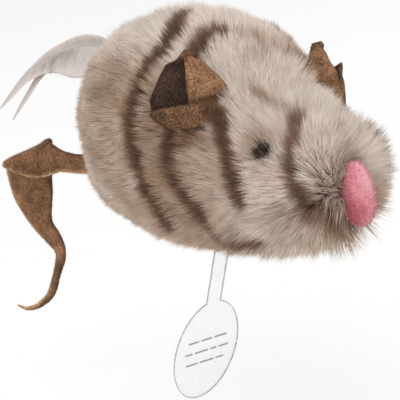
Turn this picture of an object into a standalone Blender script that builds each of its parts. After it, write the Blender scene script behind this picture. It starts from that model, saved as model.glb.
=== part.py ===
"""Plush mouse cat toy with a sound module, an isolating pull tab, a suede tail and a feather.

Metres, +Z up. The nose points along +X and the left ear is at +Y. The origin lies on the flat of
the belly. The body is three sewn pile panels over stuffing. A plastic case in the stuffing holds
three cells, a board, a vibration switch and a sounder, and a film tab keeps the cells apart from
their contact until it is pulled out of the belly.
"""
import math

import bmesh
import bpy
from mathutils import Matrix, Vector

MM = 0.001

# Fits
FIT_GAP = 0.3 * MM
SEAM_GAP = 0.3 * MM
CUT_OVERRUN = 3.0 * MM

# Body
BODY_LENGTH = 104.0 * MM
BODY_HALF_WIDTH = 32.0 * MM
BODY_HEIGHT = 62.0 * MM
BELLY_FLAT_DEPTH = 0.5 * MM
FUR_THICKNESS = 3.0 * MM
INSET_FADE = 12.0 * MM
TOP_SQUARENESS = 2.3
BELLY_SQUARENESS = 2.6
BELLY_SEAM_DEGREES = 50.0
RING_COUNT = 30
POLE_SHARE = 0.0012
# Share of the length from the rump, then half width, top and bottom as shares of their sizes
PROFILE_SHARES = (
    (0.00, 0.000, 0.510, 0.510),
    (0.02, 0.440, 0.760, 0.270),
    (0.07, 0.720, 0.880, 0.125),
    (0.16, 0.870, 0.985, 0.070),
    (0.28, 0.985, 1.000, 0.042),
    (0.42, 0.955, 1.000, 0.010),
    (0.54, 0.860, 0.935, 0.000),
    (0.64, 0.740, 0.795, 0.000),
    (0.74, 0.675, 0.680, 0.008),
    (0.84, 0.625, 0.620, 0.030),
    (0.93, 0.585, 0.570, 0.085),
    (0.98, 0.370, 0.480, 0.170),
    (1.00, 0.000, 0.310, 0.310),
)

# Ears
EAR_SPAN = 21.0 * MM
EAR_HEIGHT = 12.4 * MM
EAR_THICKNESS = 1.3 * MM
EAR_ROOT_DEPTH = 7.0 * MM
EAR_ROWS = 13
EAR_COLUMNS = 22
EAR_TIP_THINNING = 1.2
# Each ear's side, share along the body and angle up from that side, then the top and the foot of
# its flap's slanting edge in shares of its height; they aren't sewn on alike
EAR_PLACES = (("left", 1, 0.645, 37.0, 0.36, 0.0), ("right", -1, 0.62, 48.0, -0.08, -0.28))
EAR_TIP_SHARES = (0.03, 0.03)
# The loop of the folded ear at its base, forward and outward of its middle, in shares of the span
EAR_LOOP_SHARES = ((-0.41, 0.38), (-0.16, 0.10), (0.08, -0.20), (0.19, -0.34), (0.27, -0.29),
                   (0.28, -0.08), (0.25, 0.10), (0.12, 0.26), (-0.10, 0.37), (-0.33, 0.42))
EAR_WING_SHARE = 0.64

# Eyes and nose
EYE_BODY_SHARE = 0.867
EYE_DEGREES = 43.0
EYE_HALF_LENGTH = 2.5 * MM
EYE_HALF_HEIGHT = 2.0 * MM
EYE_STAND = 1.2 * MM
NOSE_HALF_WIDTH = 4.2 * MM
NOSE_HALF_HEIGHT = 8.2 * MM
NOSE_STAND = 5.0 * MM
NOSE_FORWARD = 2.4 * MM
# It is sewn on a little towards the left side
NOSE_ASIDE = 1.2 * MM
NOSE_HEIGHT_SHARE = 0.300
NOSE_SQUARENESS = 2.4

# Tail, a flat suede strip that is folded once and hangs from the fold
TAIL_BEARING_DEGREES = 36.9
TAIL_ROOT_SHARE = 0.322
TAIL_REACH = 45.5 * MM
TAIL_THICKNESS = 1.4 * MM
TAIL_ROOT_HEIGHT = 5.6 * MM
TAIL_FOLD_LENGTH = 17.6 * MM
TAIL_FOLD_DEGREES = 20.7
TAIL_FOLD_SAG = 2.6 * MM
TAIL_OPEN_DEGREES = 4.0
TAIL_HANG = 45.0 * MM
# Upper strip: share of the reach, rise of the upper and of the lower edge as shares of the reach
TAIL_UPPER_SHARES = ((0.10, 0.050, -0.068), (0.24, 0.045, -0.082), (0.42, 0.033, -0.092),
                     (0.53, 0.058, -0.076), (0.60, 0.101, -0.068))
# Hanging strip: shares of the hang outward and down from the fold's middle, half width, twist
TAIL_LOWER_SHARES = ((0.034, 0.170, 0.158, 0), (0.034, 0.282, 0.146, 0), (0.030, 0.384, 0.120, 5),
                     (0.010, 0.497, 0.082, 12), (-0.038, 0.593, 0.074, 20), (-0.066, 0.659, 0.076, 35),
                     (-0.071, 0.727, 0.072, 50), (-0.049, 0.795, 0.064, 54), (-0.020, 0.865, 0.048, 46),
                     (0.022, 0.935, 0.034, 32), (0.082, 1.007, 0.024, 20), (0.165, 1.060, 0.018, 10),
                     (0.245, 1.072, 0.011, 0), (0.308, 1.044, 0.0045, 0))

# Feathers, a broad vane and a narrow one, one above the other in the rump seam
BROAD_FEATHER_ROOT_SHARE = 0.69
NARROW_FEATHER_ROOT_SHARE = 0.66
FEATHER_SPREAD_SHARE = 0.25
FEATHER_LENGTH = 45.0 * MM
FEATHER_QUILL_RADIUS = 0.6 * MM
FEATHER_EDGE_THICKNESS = 0.35 * MM
# Share of the length outward, rise and half width as shares of the length
BROAD_FEATHER_SHARES = ((0.00, 0.000, 0.014), (0.07, 0.055, 0.030), (0.15, 0.135, 0.115),
                        (0.27, 0.158, 0.140), (0.40, 0.150, 0.126), (0.52, 0.143, 0.086),
                        (0.64, 0.108, 0.048), (0.76, 0.042, 0.028), (0.88, -0.055, 0.017),
                        (0.97, -0.130, 0.004))
NARROW_FEATHER_SHARES = ((0.00, -0.010, 0.014), (0.10, 0.012, 0.018), (0.25, 0.078, 0.022),
                         (0.45, 0.127, 0.022), (0.58, 0.138, 0.021), (0.67, 0.082, 0.020),
                         (0.75, -0.003, 0.018), (0.83, -0.088, 0.014), (0.91, -0.178, 0.004))

# Pull tab, film
TAB_THICKNESS = 0.35 * MM
TAB_STEM_WIDTH = 4.8 * MM
TAB_STEM_LENGTH = 21.2 * MM
TAB_OVAL_LENGTH = 36.5 * MM
TAB_OVAL_WIDTH = 21.0 * MM
TAB_TILT_DEGREES = 30.0
TAB_FOLD_DROP = 1.75 * MM
TAB_FOLD_GAP = 0.25 * MM
TAB_X = -14.6 * MM
TAB_SLOT_CLEARANCE = 0.3 * MM

# Sound module case
CASE_LENGTH = 34.0 * MM
CASE_WIDTH = 22.0 * MM
CASE_BASE_HEIGHT = 14.0 * MM
CASE_LID_HEIGHT = 2.0 * MM
CASE_WALL = 1.2 * MM
CASE_CORNER = 3.0 * MM
CASE_LIFT = 6.5 * MM
CASE_TAB_INSET = 3.0 * MM
BOSS_RADIUS = 2.0 * MM
BOSS_INSET = 3.4 * MM
SCREW_RADIUS = 0.8 * MM
SCREW_LENGTH = 7.0 * MM
SCREW_HEAD_RADIUS = 1.7 * MM
SCREW_HEAD_HEIGHT = 0.9 * MM
SOUND_HOLE_RADIUS = 0.8 * MM
SOUND_HOLE_RING = 3.6 * MM
SOUND_HOLE_COUNT = 6

# Module parts
CELL_RADIUS = 3.95 * MM
CELL_THICKNESS = 3.6 * MM
CELL_COUNT = 3
CELL_EDGE = 0.35 * MM
CONTACT_THICKNESS = 0.3 * MM
CONTACT_WIDTH = 4.0 * MM
CONTACT_FOOT = 1.4 * MM
BOARD_THICKNESS = 1.0 * MM
BOARD_MARGIN = 0.8 * MM
CHIP_RADIUS = 2.6 * MM
CHIP_HEIGHT = 1.0 * MM
SOUNDER_RADIUS = 7.0 * MM
SOUNDER_THICKNESS = 0.5 * MM
SOUNDER_CERAMIC_RADIUS = 4.8 * MM
SPRING_RADIUS = 1.7 * MM
SPRING_WIRE_RADIUS = 0.2 * MM
SPRING_HEIGHT = 5.6 * MM
SPRING_TURNS = 6
SPRING_POINTS_PER_TURN = 10
PIN_RADIUS = 0.35 * MM
PIN_HEIGHT = 5.0 * MM
LEAD_RADIUS = 0.35 * MM
LEAD_BOW = 0.8 * MM


def clear_scene():
    for item in list(bpy.data.objects):
        bpy.data.objects.remove(item, do_unlink=True)


def linear(hex_colour):
    values = []
    for start in (0, 2, 4):
        channel = int(hex_colour[start:start + 2], 16) / 255
        values.append(channel / 12.92 if channel <= 0.04045 else ((channel + 0.055) / 1.055) ** 2.4)
    return (*values, 1.0)


def material(name, hex_colour, roughness, metallic=0.0, alpha=1.0):
    made = bpy.data.materials.new(name)
    made.use_nodes = True
    shader = made.node_tree.nodes["Principled BSDF"]
    shader.inputs["Base Color"].default_value = linear(hex_colour)
    shader.inputs["Roughness"].default_value = roughness
    shader.inputs["Metallic"].default_value = metallic
    shader.inputs["Alpha"].default_value = alpha
    return made


def add_object(name, shape, finish=None, origin=None, parent=None):
    """Store a bmesh, drawn in world coordinates, as an object whose origin is at the given point."""
    place = Vector(origin) if origin else Vector()
    bmesh.ops.recalc_face_normals(shape, faces=shape.faces[:])
    bmesh.ops.translate(shape, verts=shape.verts[:], vec=-place)
    mesh = bpy.data.meshes.new(name)
    shape.to_mesh(mesh)
    shape.free()
    made = bpy.data.objects.new(name, mesh)
    bpy.context.scene.collection.objects.link(made)
    made.location = place
    if parent:
        made.parent = parent
        made.location = place - parent.matrix_world.translation
    if finish:
        mesh.materials.append(finish)
    bpy.context.view_layer.update()
    return made


def smooth(item, degrees=40):
    item.data.shade_smooth()
    item.data.set_sharp_from_angle(angle=math.radians(degrees))


def combine(item, other, operation="DIFFERENCE"):
    modifier = item.modifiers.new(other.name, "BOOLEAN")
    modifier.operation = operation
    modifier.solver = "EXACT"
    modifier.object = other
    other.hide_render = True
    other.display_type = "WIRE"


# Shapes shared by several pieces

def loft(rings):
    """Join equal closed rings into one capped skin."""
    shape = bmesh.new()
    rows = [[shape.verts.new(point) for point in ring] for ring in rings]
    count = len(rows[0])
    for near, far in zip(rows, rows[1:]):
        for index in range(count):
            after = (index + 1) % count
            shape.faces.new((near[index], near[after], far[after], far[index]))
    shape.faces.new(rows[0][::-1])
    shape.faces.new(rows[-1])
    return shape


def wall_between(outer, inner):
    """Close two equal open grids, one above the other, into one solid wall."""
    shape = bmesh.new()
    front = [[shape.verts.new(point) for point in row] for row in outer]
    back = [[shape.verts.new(point) for point in row] for row in inner]
    rows, columns = len(front), len(front[0])
    for row in range(rows - 1):
        for column in range(columns - 1):
            for side, layer in ((1, front), (-1, back)):
                corners = (layer[row][column], layer[row][column + 1],
                           layer[row + 1][column + 1], layer[row + 1][column])
                shape.faces.new(corners[::side])
    border = [(0, column) for column in range(columns)]
    border += [(row, columns - 1) for row in range(1, rows)]
    border += [(rows - 1, column) for column in range(columns - 2, -1, -1)]
    border += [(row, 0) for row in range(rows - 2, 0, -1)]
    for (row, column), (next_row, next_column) in zip(border, border[1:] + border[:1]):
        shape.faces.new((front[row][column], back[row][column],
                         back[next_row][next_column], front[next_row][next_column]))
    return shape


def sheet(grid, thicknesses):
    """Give each row of a grid of points half its thickness on each side."""
    rows, columns = len(grid), len(grid[0])
    outer, inner = [], []
    for row in range(rows):
        outer.append([])
        inner.append([])
        for column in range(columns):
            along = grid[min(row + 1, rows - 1)][column] - grid[max(row - 1, 0)][column]
            across = grid[row][min(column + 1, columns - 1)] - grid[row][max(column - 1, 0)]
            side = along.cross(across).normalized() * thicknesses[row] / 2
            outer[-1].append(grid[row][column] + side)
            inner[-1].append(grid[row][column] - side)
    return wall_between(outer, inner)


def prism(outline, low, high, frame=None):
    """Raise a flat outline from one level to another, then place it by a frame."""
    place = frame or Matrix()
    return loft([[place @ Vector((x, y, level)) for x, y in outline] for level in (low, high)])


def circle(radius, count=24, centre=(0.0, 0.0)):
    return [(centre[0] + radius * math.cos(math.tau * step / count),
             centre[1] + radius * math.sin(math.tau * step / count)) for step in range(count)]


def rounded_rectangle(length, width, corner, centre=(0.0, 0.0), steps=4):
    points = []
    for quarter, (side_x, side_y) in enumerate(((1, 1), (-1, 1), (-1, -1), (1, -1))):
        middle_x = centre[0] + side_x * (length / 2 - corner)
        middle_y = centre[1] + side_y * (width / 2 - corner)
        for step in range(steps + 1):
            angle = math.pi / 2 * (quarter + step / steps)
            points.append((middle_x + corner * math.cos(angle), middle_y + corner * math.sin(angle)))
    return points


def turned(profile, place, count=24):
    """Turn a profile of radius and height about the frame's Z axis."""
    rings = []
    for radius, level in profile:
        rings.append([place @ Vector((x, y, level)) for x, y in circle(radius, count)])
    return loft(rings)


def tube(points, radius, sides=8):
    """Sweep a round section along a path, carrying its frame without twist."""
    rings = []
    side = None
    for index, point in enumerate(points):
        ahead = points[min(index + 1, len(points) - 1)]
        behind = points[max(index - 1, 0)]
        along = (ahead - behind).normalized()
        if side is None:
            side = along.orthogonal().normalized()
        side = (side - along * side.dot(along)).normalized()
        other = along.cross(side)
        rings.append([point + side * x + other * y for x, y in circle(radius, sides)])
    return loft(rings)


def bent_strip(points, thickness, width):
    """A strip bent in the X and Z plane, of even thickness, centred on Y."""
    sides = ([], [])
    for index, point in enumerate(points):
        ahead = points[min(index + 1, len(points) - 1)]
        behind = points[max(index - 1, 0)]
        along = (ahead - behind).normalized()
        turn = Vector((-along.z, 0.0, along.x)) * thickness / 2
        sides[0].append(point + turn)
        sides[1].append(point - turn)
    outline = sides[0] + sides[1][::-1]
    half = Vector((0.0, width / 2, 0.0))
    return loft([[point - half for point in outline], [point + half for point in outline]])


# The body's outer form

def steady_slopes(column):
    """Slopes for a smooth curve through one column of the profile that never overshoots."""
    shares = [row[0] for row in PROFILE_SHARES]
    values = [row[column] for row in PROFILE_SHARES]
    steps = [after - before for before, after in zip(shares, shares[1:])]
    rises = [(values[i + 1] - values[i]) / step for i, step in enumerate(steps)]
    slopes = [rises[0]]
    for i in range(1, len(rises)):
        if rises[i - 1] * rises[i] <= 0:
            slopes.append(0.0)
        else:
            first = 2 * steps[i] + steps[i - 1]
            second = steps[i] + 2 * steps[i - 1]
            slopes.append((first + second) / (first / rises[i - 1] + second / rises[i]))
    return slopes + [rises[-1]]


SLOPES = {column: steady_slopes(column) for column in (1, 2, 3)}


def profile(share, column):
    rows = PROFILE_SHARES
    index = next((i for i in range(len(rows) - 1) if share <= rows[i + 1][0]), len(rows) - 2)
    span = rows[index + 1][0] - rows[index][0]
    part = (share - rows[index][0]) / span
    start, end = rows[index][column], rows[index + 1][column]
    leave, arrive = SLOPES[column][index] * span, SLOPES[column][index + 1] * span
    return ((2 * part ** 3 - 3 * part ** 2 + 1) * start + (part ** 3 - 2 * part ** 2 + part) * leave
            + (3 * part ** 2 - 2 * part ** 3) * end + (part ** 3 - part ** 2) * arrive)


def body_point(share, degrees, inset=0.0):
    """A point of the body, 0 degrees at its left side and 90 on its back, set in by an inset."""
    half_width = profile(share, 1) * BODY_HALF_WIDTH
    top = profile(share, 2) * BODY_HEIGHT - BELLY_FLAT_DEPTH
    bottom = profile(share, 3) * BODY_HEIGHT - BELLY_FLAT_DEPTH
    half_height = (top - bottom) / 2
    middle = (top + bottom) / 2
    half_width -= inset * min(1.0, half_width / INSET_FADE)
    half_height -= inset * min(1.0, half_height / INSET_FADE)
    across, up = math.cos(math.radians(degrees)), math.sin(math.radians(degrees))
    power = 2 / (TOP_SQUARENESS if up >= 0 else BELLY_SQUARENESS)
    return Vector(((share - 0.5) * (BODY_LENGTH - 2 * inset),
                   half_width * math.copysign(abs(across) ** power, across),
                   middle + half_height * math.copysign(abs(up) ** power, up)))


def body_normal(share, degrees):
    step_share, step_degrees = 0.01, 2.0
    along = body_point(share + step_share, degrees) - body_point(share - step_share, degrees)
    around = body_point(share, degrees + step_degrees) - body_point(share, degrees - step_degrees)
    return around.cross(along).normalized()


def ring_shares():
    spread = [(1 - math.cos(math.pi * step / RING_COUNT)) / 2 for step in range(1, RING_COUNT)]
    return [POLE_SHARE] + spread + [1 - POLE_SHARE]


def closed_body(inset, columns=32):
    rings = []
    for share in ring_shares():
        rings.append([body_point(share, 360 * step / columns, inset) for step in range(columns)])
    return loft(rings)


def beside_seam(share, degrees, direction, inset):
    """The angle at which the surface is half a seam gap from a seam."""
    seam = body_point(share, degrees, inset)
    near, far = 0.0, 45.0
    for _ in range(24):
        middle = (near + far) / 2
        if (body_point(share, degrees + direction * middle, inset) - seam).length < SEAM_GAP / 2:
            near = middle
        else:
            far = middle
    return degrees + direction * far


def fur_panel(start, end, columns):
    """A sewn panel between two seams, from the rump to the snout."""
    layers = []
    for inset in (0.0, FUR_THICKNESS):
        rows = []
        for share in ring_shares():
            first = beside_seam(share, start, 1, inset)
            last = beside_seam(share, end, -1, inset)
            rows.append([body_point(share, first + (last - first) * step / columns, inset)
                         for step in range(columns + 1)])
        layers.append(rows)
    return wall_between(*layers)


# Pieces

def make_body(finishes):
    left = add_object("fur_side_left", fur_panel(-BELLY_SEAM_DEGREES, 90, 14), finishes["pile"])
    right = add_object("fur_side_right", fur_panel(90, 180 + BELLY_SEAM_DEGREES, 14), finishes["pile"])
    belly = add_object("fur_belly", fur_panel(180 + BELLY_SEAM_DEGREES, 360 - BELLY_SEAM_DEGREES, 8),
                       finishes["pile"])
    under = rounded_rectangle(BODY_LENGTH + CUT_OVERRUN, 2 * BODY_HALF_WIDTH, CUT_OVERRUN)
    combine(belly, add_object("belly_flat_cut", prism(under, -CUT_OVERRUN, 0)))
    slit_length = TAB_THICKNESS + 2 * TAB_SLOT_CLEARANCE
    slit_width = TAB_STEM_WIDTH + 2 * TAB_SLOT_CLEARANCE
    slit = rounded_rectangle(slit_length, slit_width, slit_length / 4, (TAB_X, 0.0), 1)
    combine(belly, add_object("belly_slit_cut", prism(slit, -CUT_OVERRUN, CASE_LIFT)))

    filling = add_object("stuffing", closed_body(FUR_THICKNESS + FIT_GAP, 28), finishes["fibre"])
    pocket = rounded_rectangle(CASE_LENGTH + 2 * FIT_GAP, CASE_WIDTH + 2 * FIT_GAP,
                               CASE_CORNER + FIT_GAP, (case_middle(), 0.0))
    combine(filling, add_object("pocket_cut", prism(pocket, -CUT_OVERRUN, case_top() + FIT_GAP)))
    for item in (left, right, belly, filling):
        smooth(item)


def ear_row(row):
    """How high a row of an ear stands, and how much of the loop's width is left there."""
    height = -EAR_ROOT_DEPTH / EAR_HEIGHT + (0.97 + EAR_ROOT_DEPTH / EAR_HEIGHT) * row / (EAR_ROWS - 1)
    return height, (1 - max(height, 0.0)) ** 0.72


def ear_grid(side, share, degrees, flap_top, flap_foot):
    """Rows from the root to the tip of one piece of suede that wraps round into a cup."""
    middle = body_point(share, 90 - side * (90 - degrees))
    tip = Vector((EAR_TIP_SHARES[0] * EAR_SPAN, side * EAR_TIP_SHARES[1] * EAR_SPAN, EAR_HEIGHT))
    grid = []
    for row in range(EAR_ROWS):
        height, taper = ear_row(row)
        closing = max(0.0, min(1.0, (flap_top - height) / (flap_top - flap_foot)))
        wrap = EAR_WING_SHARE + (0.93 - EAR_WING_SHARE) * closing ** 0.6
        line = []
        for column in range(EAR_COLUMNS):
            forward, outward = loop_point(wrap * column / (EAR_COLUMNS - 1))
            line.append(middle + tip * height + Vector((forward * taper, side * outward * taper, 0.0)))
        grid.append(line)
    return grid


def loop_point(part):
    """A point on the smooth closed loop at an ear's base."""
    count = len(EAR_LOOP_SHARES)
    place = part * count
    index = int(place) % count
    local = place - int(place)
    knots = [EAR_LOOP_SHARES[(index + step) % count] for step in (-1, 0, 1, 2)]
    weights = (-local ** 3 + 2 * local ** 2 - local, 3 * local ** 3 - 5 * local ** 2 + 2,
               -3 * local ** 3 + 4 * local ** 2 + local, local ** 3 - local ** 2)
    return tuple(EAR_SPAN / 2 * sum(weight * knot[axis] for weight, knot in zip(weights, knots))
                 for axis in (0, 1))


def make_head(finishes, envelope):
    thicknesses = [EAR_THICKNESS * min(1.0, EAR_TIP_THINNING * ear_row(row)[1]) for row in range(EAR_ROWS)]
    for word, side, share, degrees, flap_top, flap_foot in EAR_PLACES:
        grid = ear_grid(side, share, degrees, flap_top, flap_foot)
        ear = add_object("ear_" + word, sheet(grid, thicknesses), finishes["suede"])
        combine(ear, envelope)
        eye = oval("eye_" + word, body_point(EYE_BODY_SHARE, 90 - side * (90 - EYE_DEGREES)),
                   body_normal(EYE_BODY_SHARE, 90 - side * (90 - EYE_DEGREES)),
                   (EYE_HALF_LENGTH, EYE_HALF_HEIGHT, EYE_STAND), 2.0, finishes["thread"])
        combine(eye, envelope)
        smooth(ear)
    nose_middle = Vector((BODY_LENGTH / 2 + NOSE_FORWARD, NOSE_ASIDE, NOSE_HEIGHT_SHARE * BODY_HEIGHT))
    nose = oval("nose_pad", nose_middle, Vector((1.0, 0.0, 0.0)),
                (NOSE_HALF_WIDTH, NOSE_HALF_HEIGHT, NOSE_STAND), NOSE_SQUARENESS, finishes["felt"])
    combine(nose, envelope)


def oval(name, middle, outward, halves, squareness, finish):
    """A puffed oval that faces outward: half length, half height and how far it stands out."""
    level = Vector((0.0, 0.0, 1.0)).cross(outward).normalized()
    upright = outward.cross(level)
    rings = []
    layers, columns = 12, 28
    power = 2 / squareness
    for layer in range(1, layers):
        angle = math.pi * layer / layers - math.pi / 2
        spread, rise = math.cos(angle) ** power, math.sin(angle)
        ring = []
        for step in range(columns):
            turn = math.tau * step / columns
            ring.append(middle + level * halves[0] * spread * math.cos(turn)
                        + upright * halves[1] * spread * math.sin(turn) + outward * halves[2] * rise)
        rings.append(ring)
    made = add_object(name, loft(rings), finish)
    smooth(made)
    return made


def rump_root(height_share):
    """The point of the rump seam at a share of the body's height."""
    level = height_share * BODY_HEIGHT
    low, high = POLE_SHARE, 0.3
    degrees = 90 if level > body_point(POLE_SHARE, 90).z else -90
    for _ in range(30):
        middle = (low + high) / 2
        if (body_point(middle, degrees).z - level) * degrees < 0:
            low = middle
        else:
            high = middle
    return body_point(high, degrees)


def tail_frame():
    """The tail's root axis, its outward direction and the side of it that faces forward."""
    bearing = math.radians(TAIL_BEARING_DEGREES)
    outward = Vector((-math.cos(bearing), -math.sin(bearing), 0.0))
    face = Vector((-outward.y, outward.x, 0.0))
    root = rump_root(TAIL_ROOT_SHARE) - Vector((TAIL_THICKNESS / 2 + 3 * FIT_GAP, 0.0, 0.0))
    return root, outward, face


def flat_ring(middle, width, face, thickness):
    """A lens shaped section of a strip, from its middle, half width vector and face direction."""
    half = face * thickness / 2
    bevel = 0.86
    return [middle - width, middle - width * bevel + half, middle + width * bevel + half,
            middle + width, middle + width * bevel - half, middle - width * bevel - half]


def make_tail(finishes):
    root, outward, face = tail_frame()
    up = Vector((0.0, 0.0, 1.0))
    layer = face * (TAIL_THICKNESS + FIT_GAP) / 2
    angle = math.radians(TAIL_FOLD_DEGREES)
    crease = (outward * -math.cos(angle) + up * math.sin(angle)) * TAIL_FOLD_LENGTH
    fold_end = root + outward * TAIL_REACH
    fold_middle = fold_end + crease / 2

    feet = [root - up * TAIL_ROOT_HEIGHT / 2]
    heads = [root + up * TAIL_ROOT_HEIGHT / 2]
    for reach, upper, lower in TAIL_UPPER_SHARES:
        station = root + (outward * reach) * TAIL_REACH
        feet.append(station + up * TAIL_REACH * lower)
        heads.append(station + up * TAIL_REACH * upper)
    last_foot, last_head = feet[-1], heads[-1]
    for step in (0.25, 0.5, 0.75, 1.0):
        sag = up * TAIL_FOLD_SAG * math.sin(math.pi * step)
        feet.append(last_foot.lerp(fold_end, step) - sag)
        heads.append(last_head.lerp(fold_end + crease, step))
    rings = []
    for foot, head in zip(feet, heads):
        onto_layer = layer * min(1.0, (foot - root).length / (TAIL_REACH * TAIL_UPPER_SHARES[1][0]))
        rings.append(flat_ring((head + foot) / 2 + onto_layer, (head - foot) / 2, face, TAIL_THICKNESS))
    upper_strip = add_object("tail_upper", loft(rings), finishes["suede"], origin=root)

    middles = [fold_middle + (outward * out - up * down) * TAIL_HANG for out, down, _, _ in TAIL_LOWER_SHARES]
    rings = [flat_ring(fold_middle, crease / 2, face, TAIL_THICKNESS)]
    for index, (_, _, half_width, twist) in enumerate(TAIL_LOWER_SHARES):
        behind = middles[index - 1] if index else fold_middle
        path = middles[min(index + 1, len(middles) - 1)] - behind
        spin = Matrix.Rotation(math.radians(twist), 3, path)
        across = spin @ face.cross(path).normalized()
        rings.append(flat_ring(middles[index], across * TAIL_HANG * half_width, spin @ face, TAIL_THICKNESS))
    turn = Matrix.Rotation(math.radians(TAIL_OPEN_DEGREES), 3, crease)
    opened = [[fold_middle + turn @ (point - layer - fold_middle) for point in ring] for ring in rings]
    add_object("tail_lower", loft(opened), finishes["suede"], origin=fold_middle, parent=upper_strip)


def make_feathers(finishes):
    root, outward, face = tail_frame()
    clearance = Vector((FEATHER_QUILL_RADIUS + FIT_GAP, 0.0, 0.0))
    base = rump_root(BROAD_FEATHER_ROOT_SHARE) - clearance
    up = Vector((0.0, 0.0, 1.0))
    layer = -face * (2 * FEATHER_QUILL_RADIUS + FIT_GAP)
    parent = None
    for name, root_share, shares, aside in (
            ("feather_broad", BROAD_FEATHER_ROOT_SHARE, BROAD_FEATHER_SHARES, Vector()),
            ("feather_narrow", NARROW_FEATHER_ROOT_SHARE, NARROW_FEATHER_SHARES, layer)):
        start = rump_root(root_share) - clearance
        rings = []
        for out, rise, half in shares:
            middle = start + outward * FEATHER_LENGTH * out + up * FEATHER_LENGTH * rise
            middle += aside * min(1.0, out / FEATHER_SPREAD_SHARE)
            width = up * max(FEATHER_LENGTH * half, FEATHER_QUILL_RADIUS / 2)
            rib = face * FEATHER_QUILL_RADIUS * (1 - out / 2)
            edge = face * FEATHER_EDGE_THICKNESS / 2
            rings.append([middle - width, middle - width / 2 + edge, middle + rib,
                          middle + width / 2 + edge, middle + width, middle + width / 2 - edge,
                          middle - rib, middle - width / 2 - edge])
        vane = add_object(name, loft(rings), finishes["feather"], origin=base, parent=parent)
        parent = parent or vane
        smooth(vane)


def make_tab(finishes):
    width = TAB_STEM_WIDTH / 2
    half = TAB_THICKNESS / 2
    strip = prism([(TAB_X - half, -width), (TAB_X + half, -width), (TAB_X + half, width),
                   (TAB_X - half, width)], -TAB_FOLD_DROP + TAB_FOLD_GAP, tab_top())
    slide = add_object("pull_tab_strip", strip, finishes["film"], origin=(TAB_X, 0.0, 0.0))

    fold = Vector((TAB_X, 0.0, -TAB_FOLD_DROP))
    tilt = Matrix.Translation(fold) @ Matrix.Rotation(math.radians(TAB_TILT_DEGREES), 4, "Y")
    frame = tilt @ Matrix(((0, 0, 1, 0), (1, 0, 0, 0), (0, 1, 0, 0), (0, 0, 0, 1)))
    middle = -TAB_STEM_LENGTH - TAB_OVAL_LENGTH / 2
    reach = math.asin(TAB_STEM_WIDTH / TAB_OVAL_WIDTH)
    outline = [(width, -TAB_FOLD_GAP)]
    outline.append((-width, -TAB_FOLD_GAP))
    count = 40
    for step in range(count + 1):
        turn = math.pi / 2 + reach + (math.tau - 2 * reach) * step / count
        outline.append((TAB_OVAL_WIDTH / 2 * math.cos(turn), middle + TAB_OVAL_LENGTH / 2 * math.sin(turn)))
    add_object("pull_tab_grip", prism(outline, -half, half, frame), finishes["film"],
               origin=fold, parent=slide)


# Sound module

def case_middle():
    return TAB_X - CASE_TAB_INSET + CASE_LENGTH / 2


def case_top():
    return CASE_LIFT + CASE_BASE_HEIGHT + CASE_LID_HEIGHT


def case_floor():
    return CASE_LIFT + CASE_WALL


def cell_axis():
    return case_floor() + FIT_GAP + CELL_RADIUS


def tab_top():
    return cell_axis() + CELL_RADIUS * 0.8


def board_level():
    return cell_axis() + CELL_RADIUS + FIT_GAP


def boss_places():
    offset_x = CASE_LENGTH / 2 - BOSS_INSET
    offset_y = CASE_WIDTH / 2 - BOSS_INSET
    return ((case_middle() + offset_x, offset_y), (case_middle() - offset_x, -offset_y))


def make_case(finishes):
    middle = (case_middle(), 0.0)
    lid_level = CASE_LIFT + CASE_BASE_HEIGHT
    base = add_object("case_base", prism(rounded_rectangle(CASE_LENGTH, CASE_WIDTH, CASE_CORNER, middle),
                                         CASE_LIFT, lid_level - FIT_GAP), finishes["shell"])
    inside = rounded_rectangle(CASE_LENGTH - 2 * CASE_WALL, CASE_WIDTH - 2 * CASE_WALL,
                               CASE_CORNER - CASE_WALL, middle)
    combine(base, add_object("case_hollow_cut", prism(inside, case_floor(), lid_level + CUT_OVERRUN)))
    lid = add_object("case_lid", prism(rounded_rectangle(CASE_LENGTH, CASE_WIDTH, CASE_CORNER, middle),
                                       lid_level, case_top()), finishes["shell"])
    for number, place in enumerate(boss_places()):
        post = prism(circle(BOSS_RADIUS, 20, place), CASE_LIFT + CASE_WALL / 2, lid_level - FIT_GAP)
        combine(base, add_object("boss_join_%d" % number, post), "UNION")
        hole = prism(circle(SCREW_RADIUS + FIT_GAP, 16, place),
                     lid_level - SCREW_LENGTH - FIT_GAP, lid_level + CUT_OVERRUN)
        combine(base, add_object("boss_hole_cut_%d" % number, hole))
        through = prism(circle(SCREW_RADIUS + FIT_GAP, 16, place), lid_level - CUT_OVERRUN,
                        case_top() + CUT_OVERRUN)
        combine(lid, add_object("lid_hole_cut_%d" % number, through))
        seat = prism(circle(SCREW_HEAD_RADIUS + FIT_GAP, 20, place),
                     case_top() - SCREW_HEAD_HEIGHT - FIT_GAP, case_top() + CUT_OVERRUN)
        combine(lid, add_object("lid_seat_cut_%d" % number, seat))
    slot = rounded_rectangle(TAB_THICKNESS + 2 * TAB_SLOT_CLEARANCE, TAB_STEM_WIDTH + 2 * TAB_SLOT_CLEARANCE,
                             TAB_THICKNESS / 2, (TAB_X, 0.0), 1)
    combine(base, add_object("tab_slot_cut", prism(slot, CASE_LIFT - CUT_OVERRUN, case_floor() + CELL_RADIUS)))
    for number in range(SOUND_HOLE_COUNT):
        turn = math.tau * number / SOUND_HOLE_COUNT
        place = (middle[0] + SOUND_HOLE_RING * math.cos(turn), SOUND_HOLE_RING * math.sin(turn))
        hole = prism(circle(SOUND_HOLE_RADIUS, 12, place), lid_level - CUT_OVERRUN, case_top() + CUT_OVERRUN)
        combine(lid, add_object("sound_hole_cut_%d" % number, hole))


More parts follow.
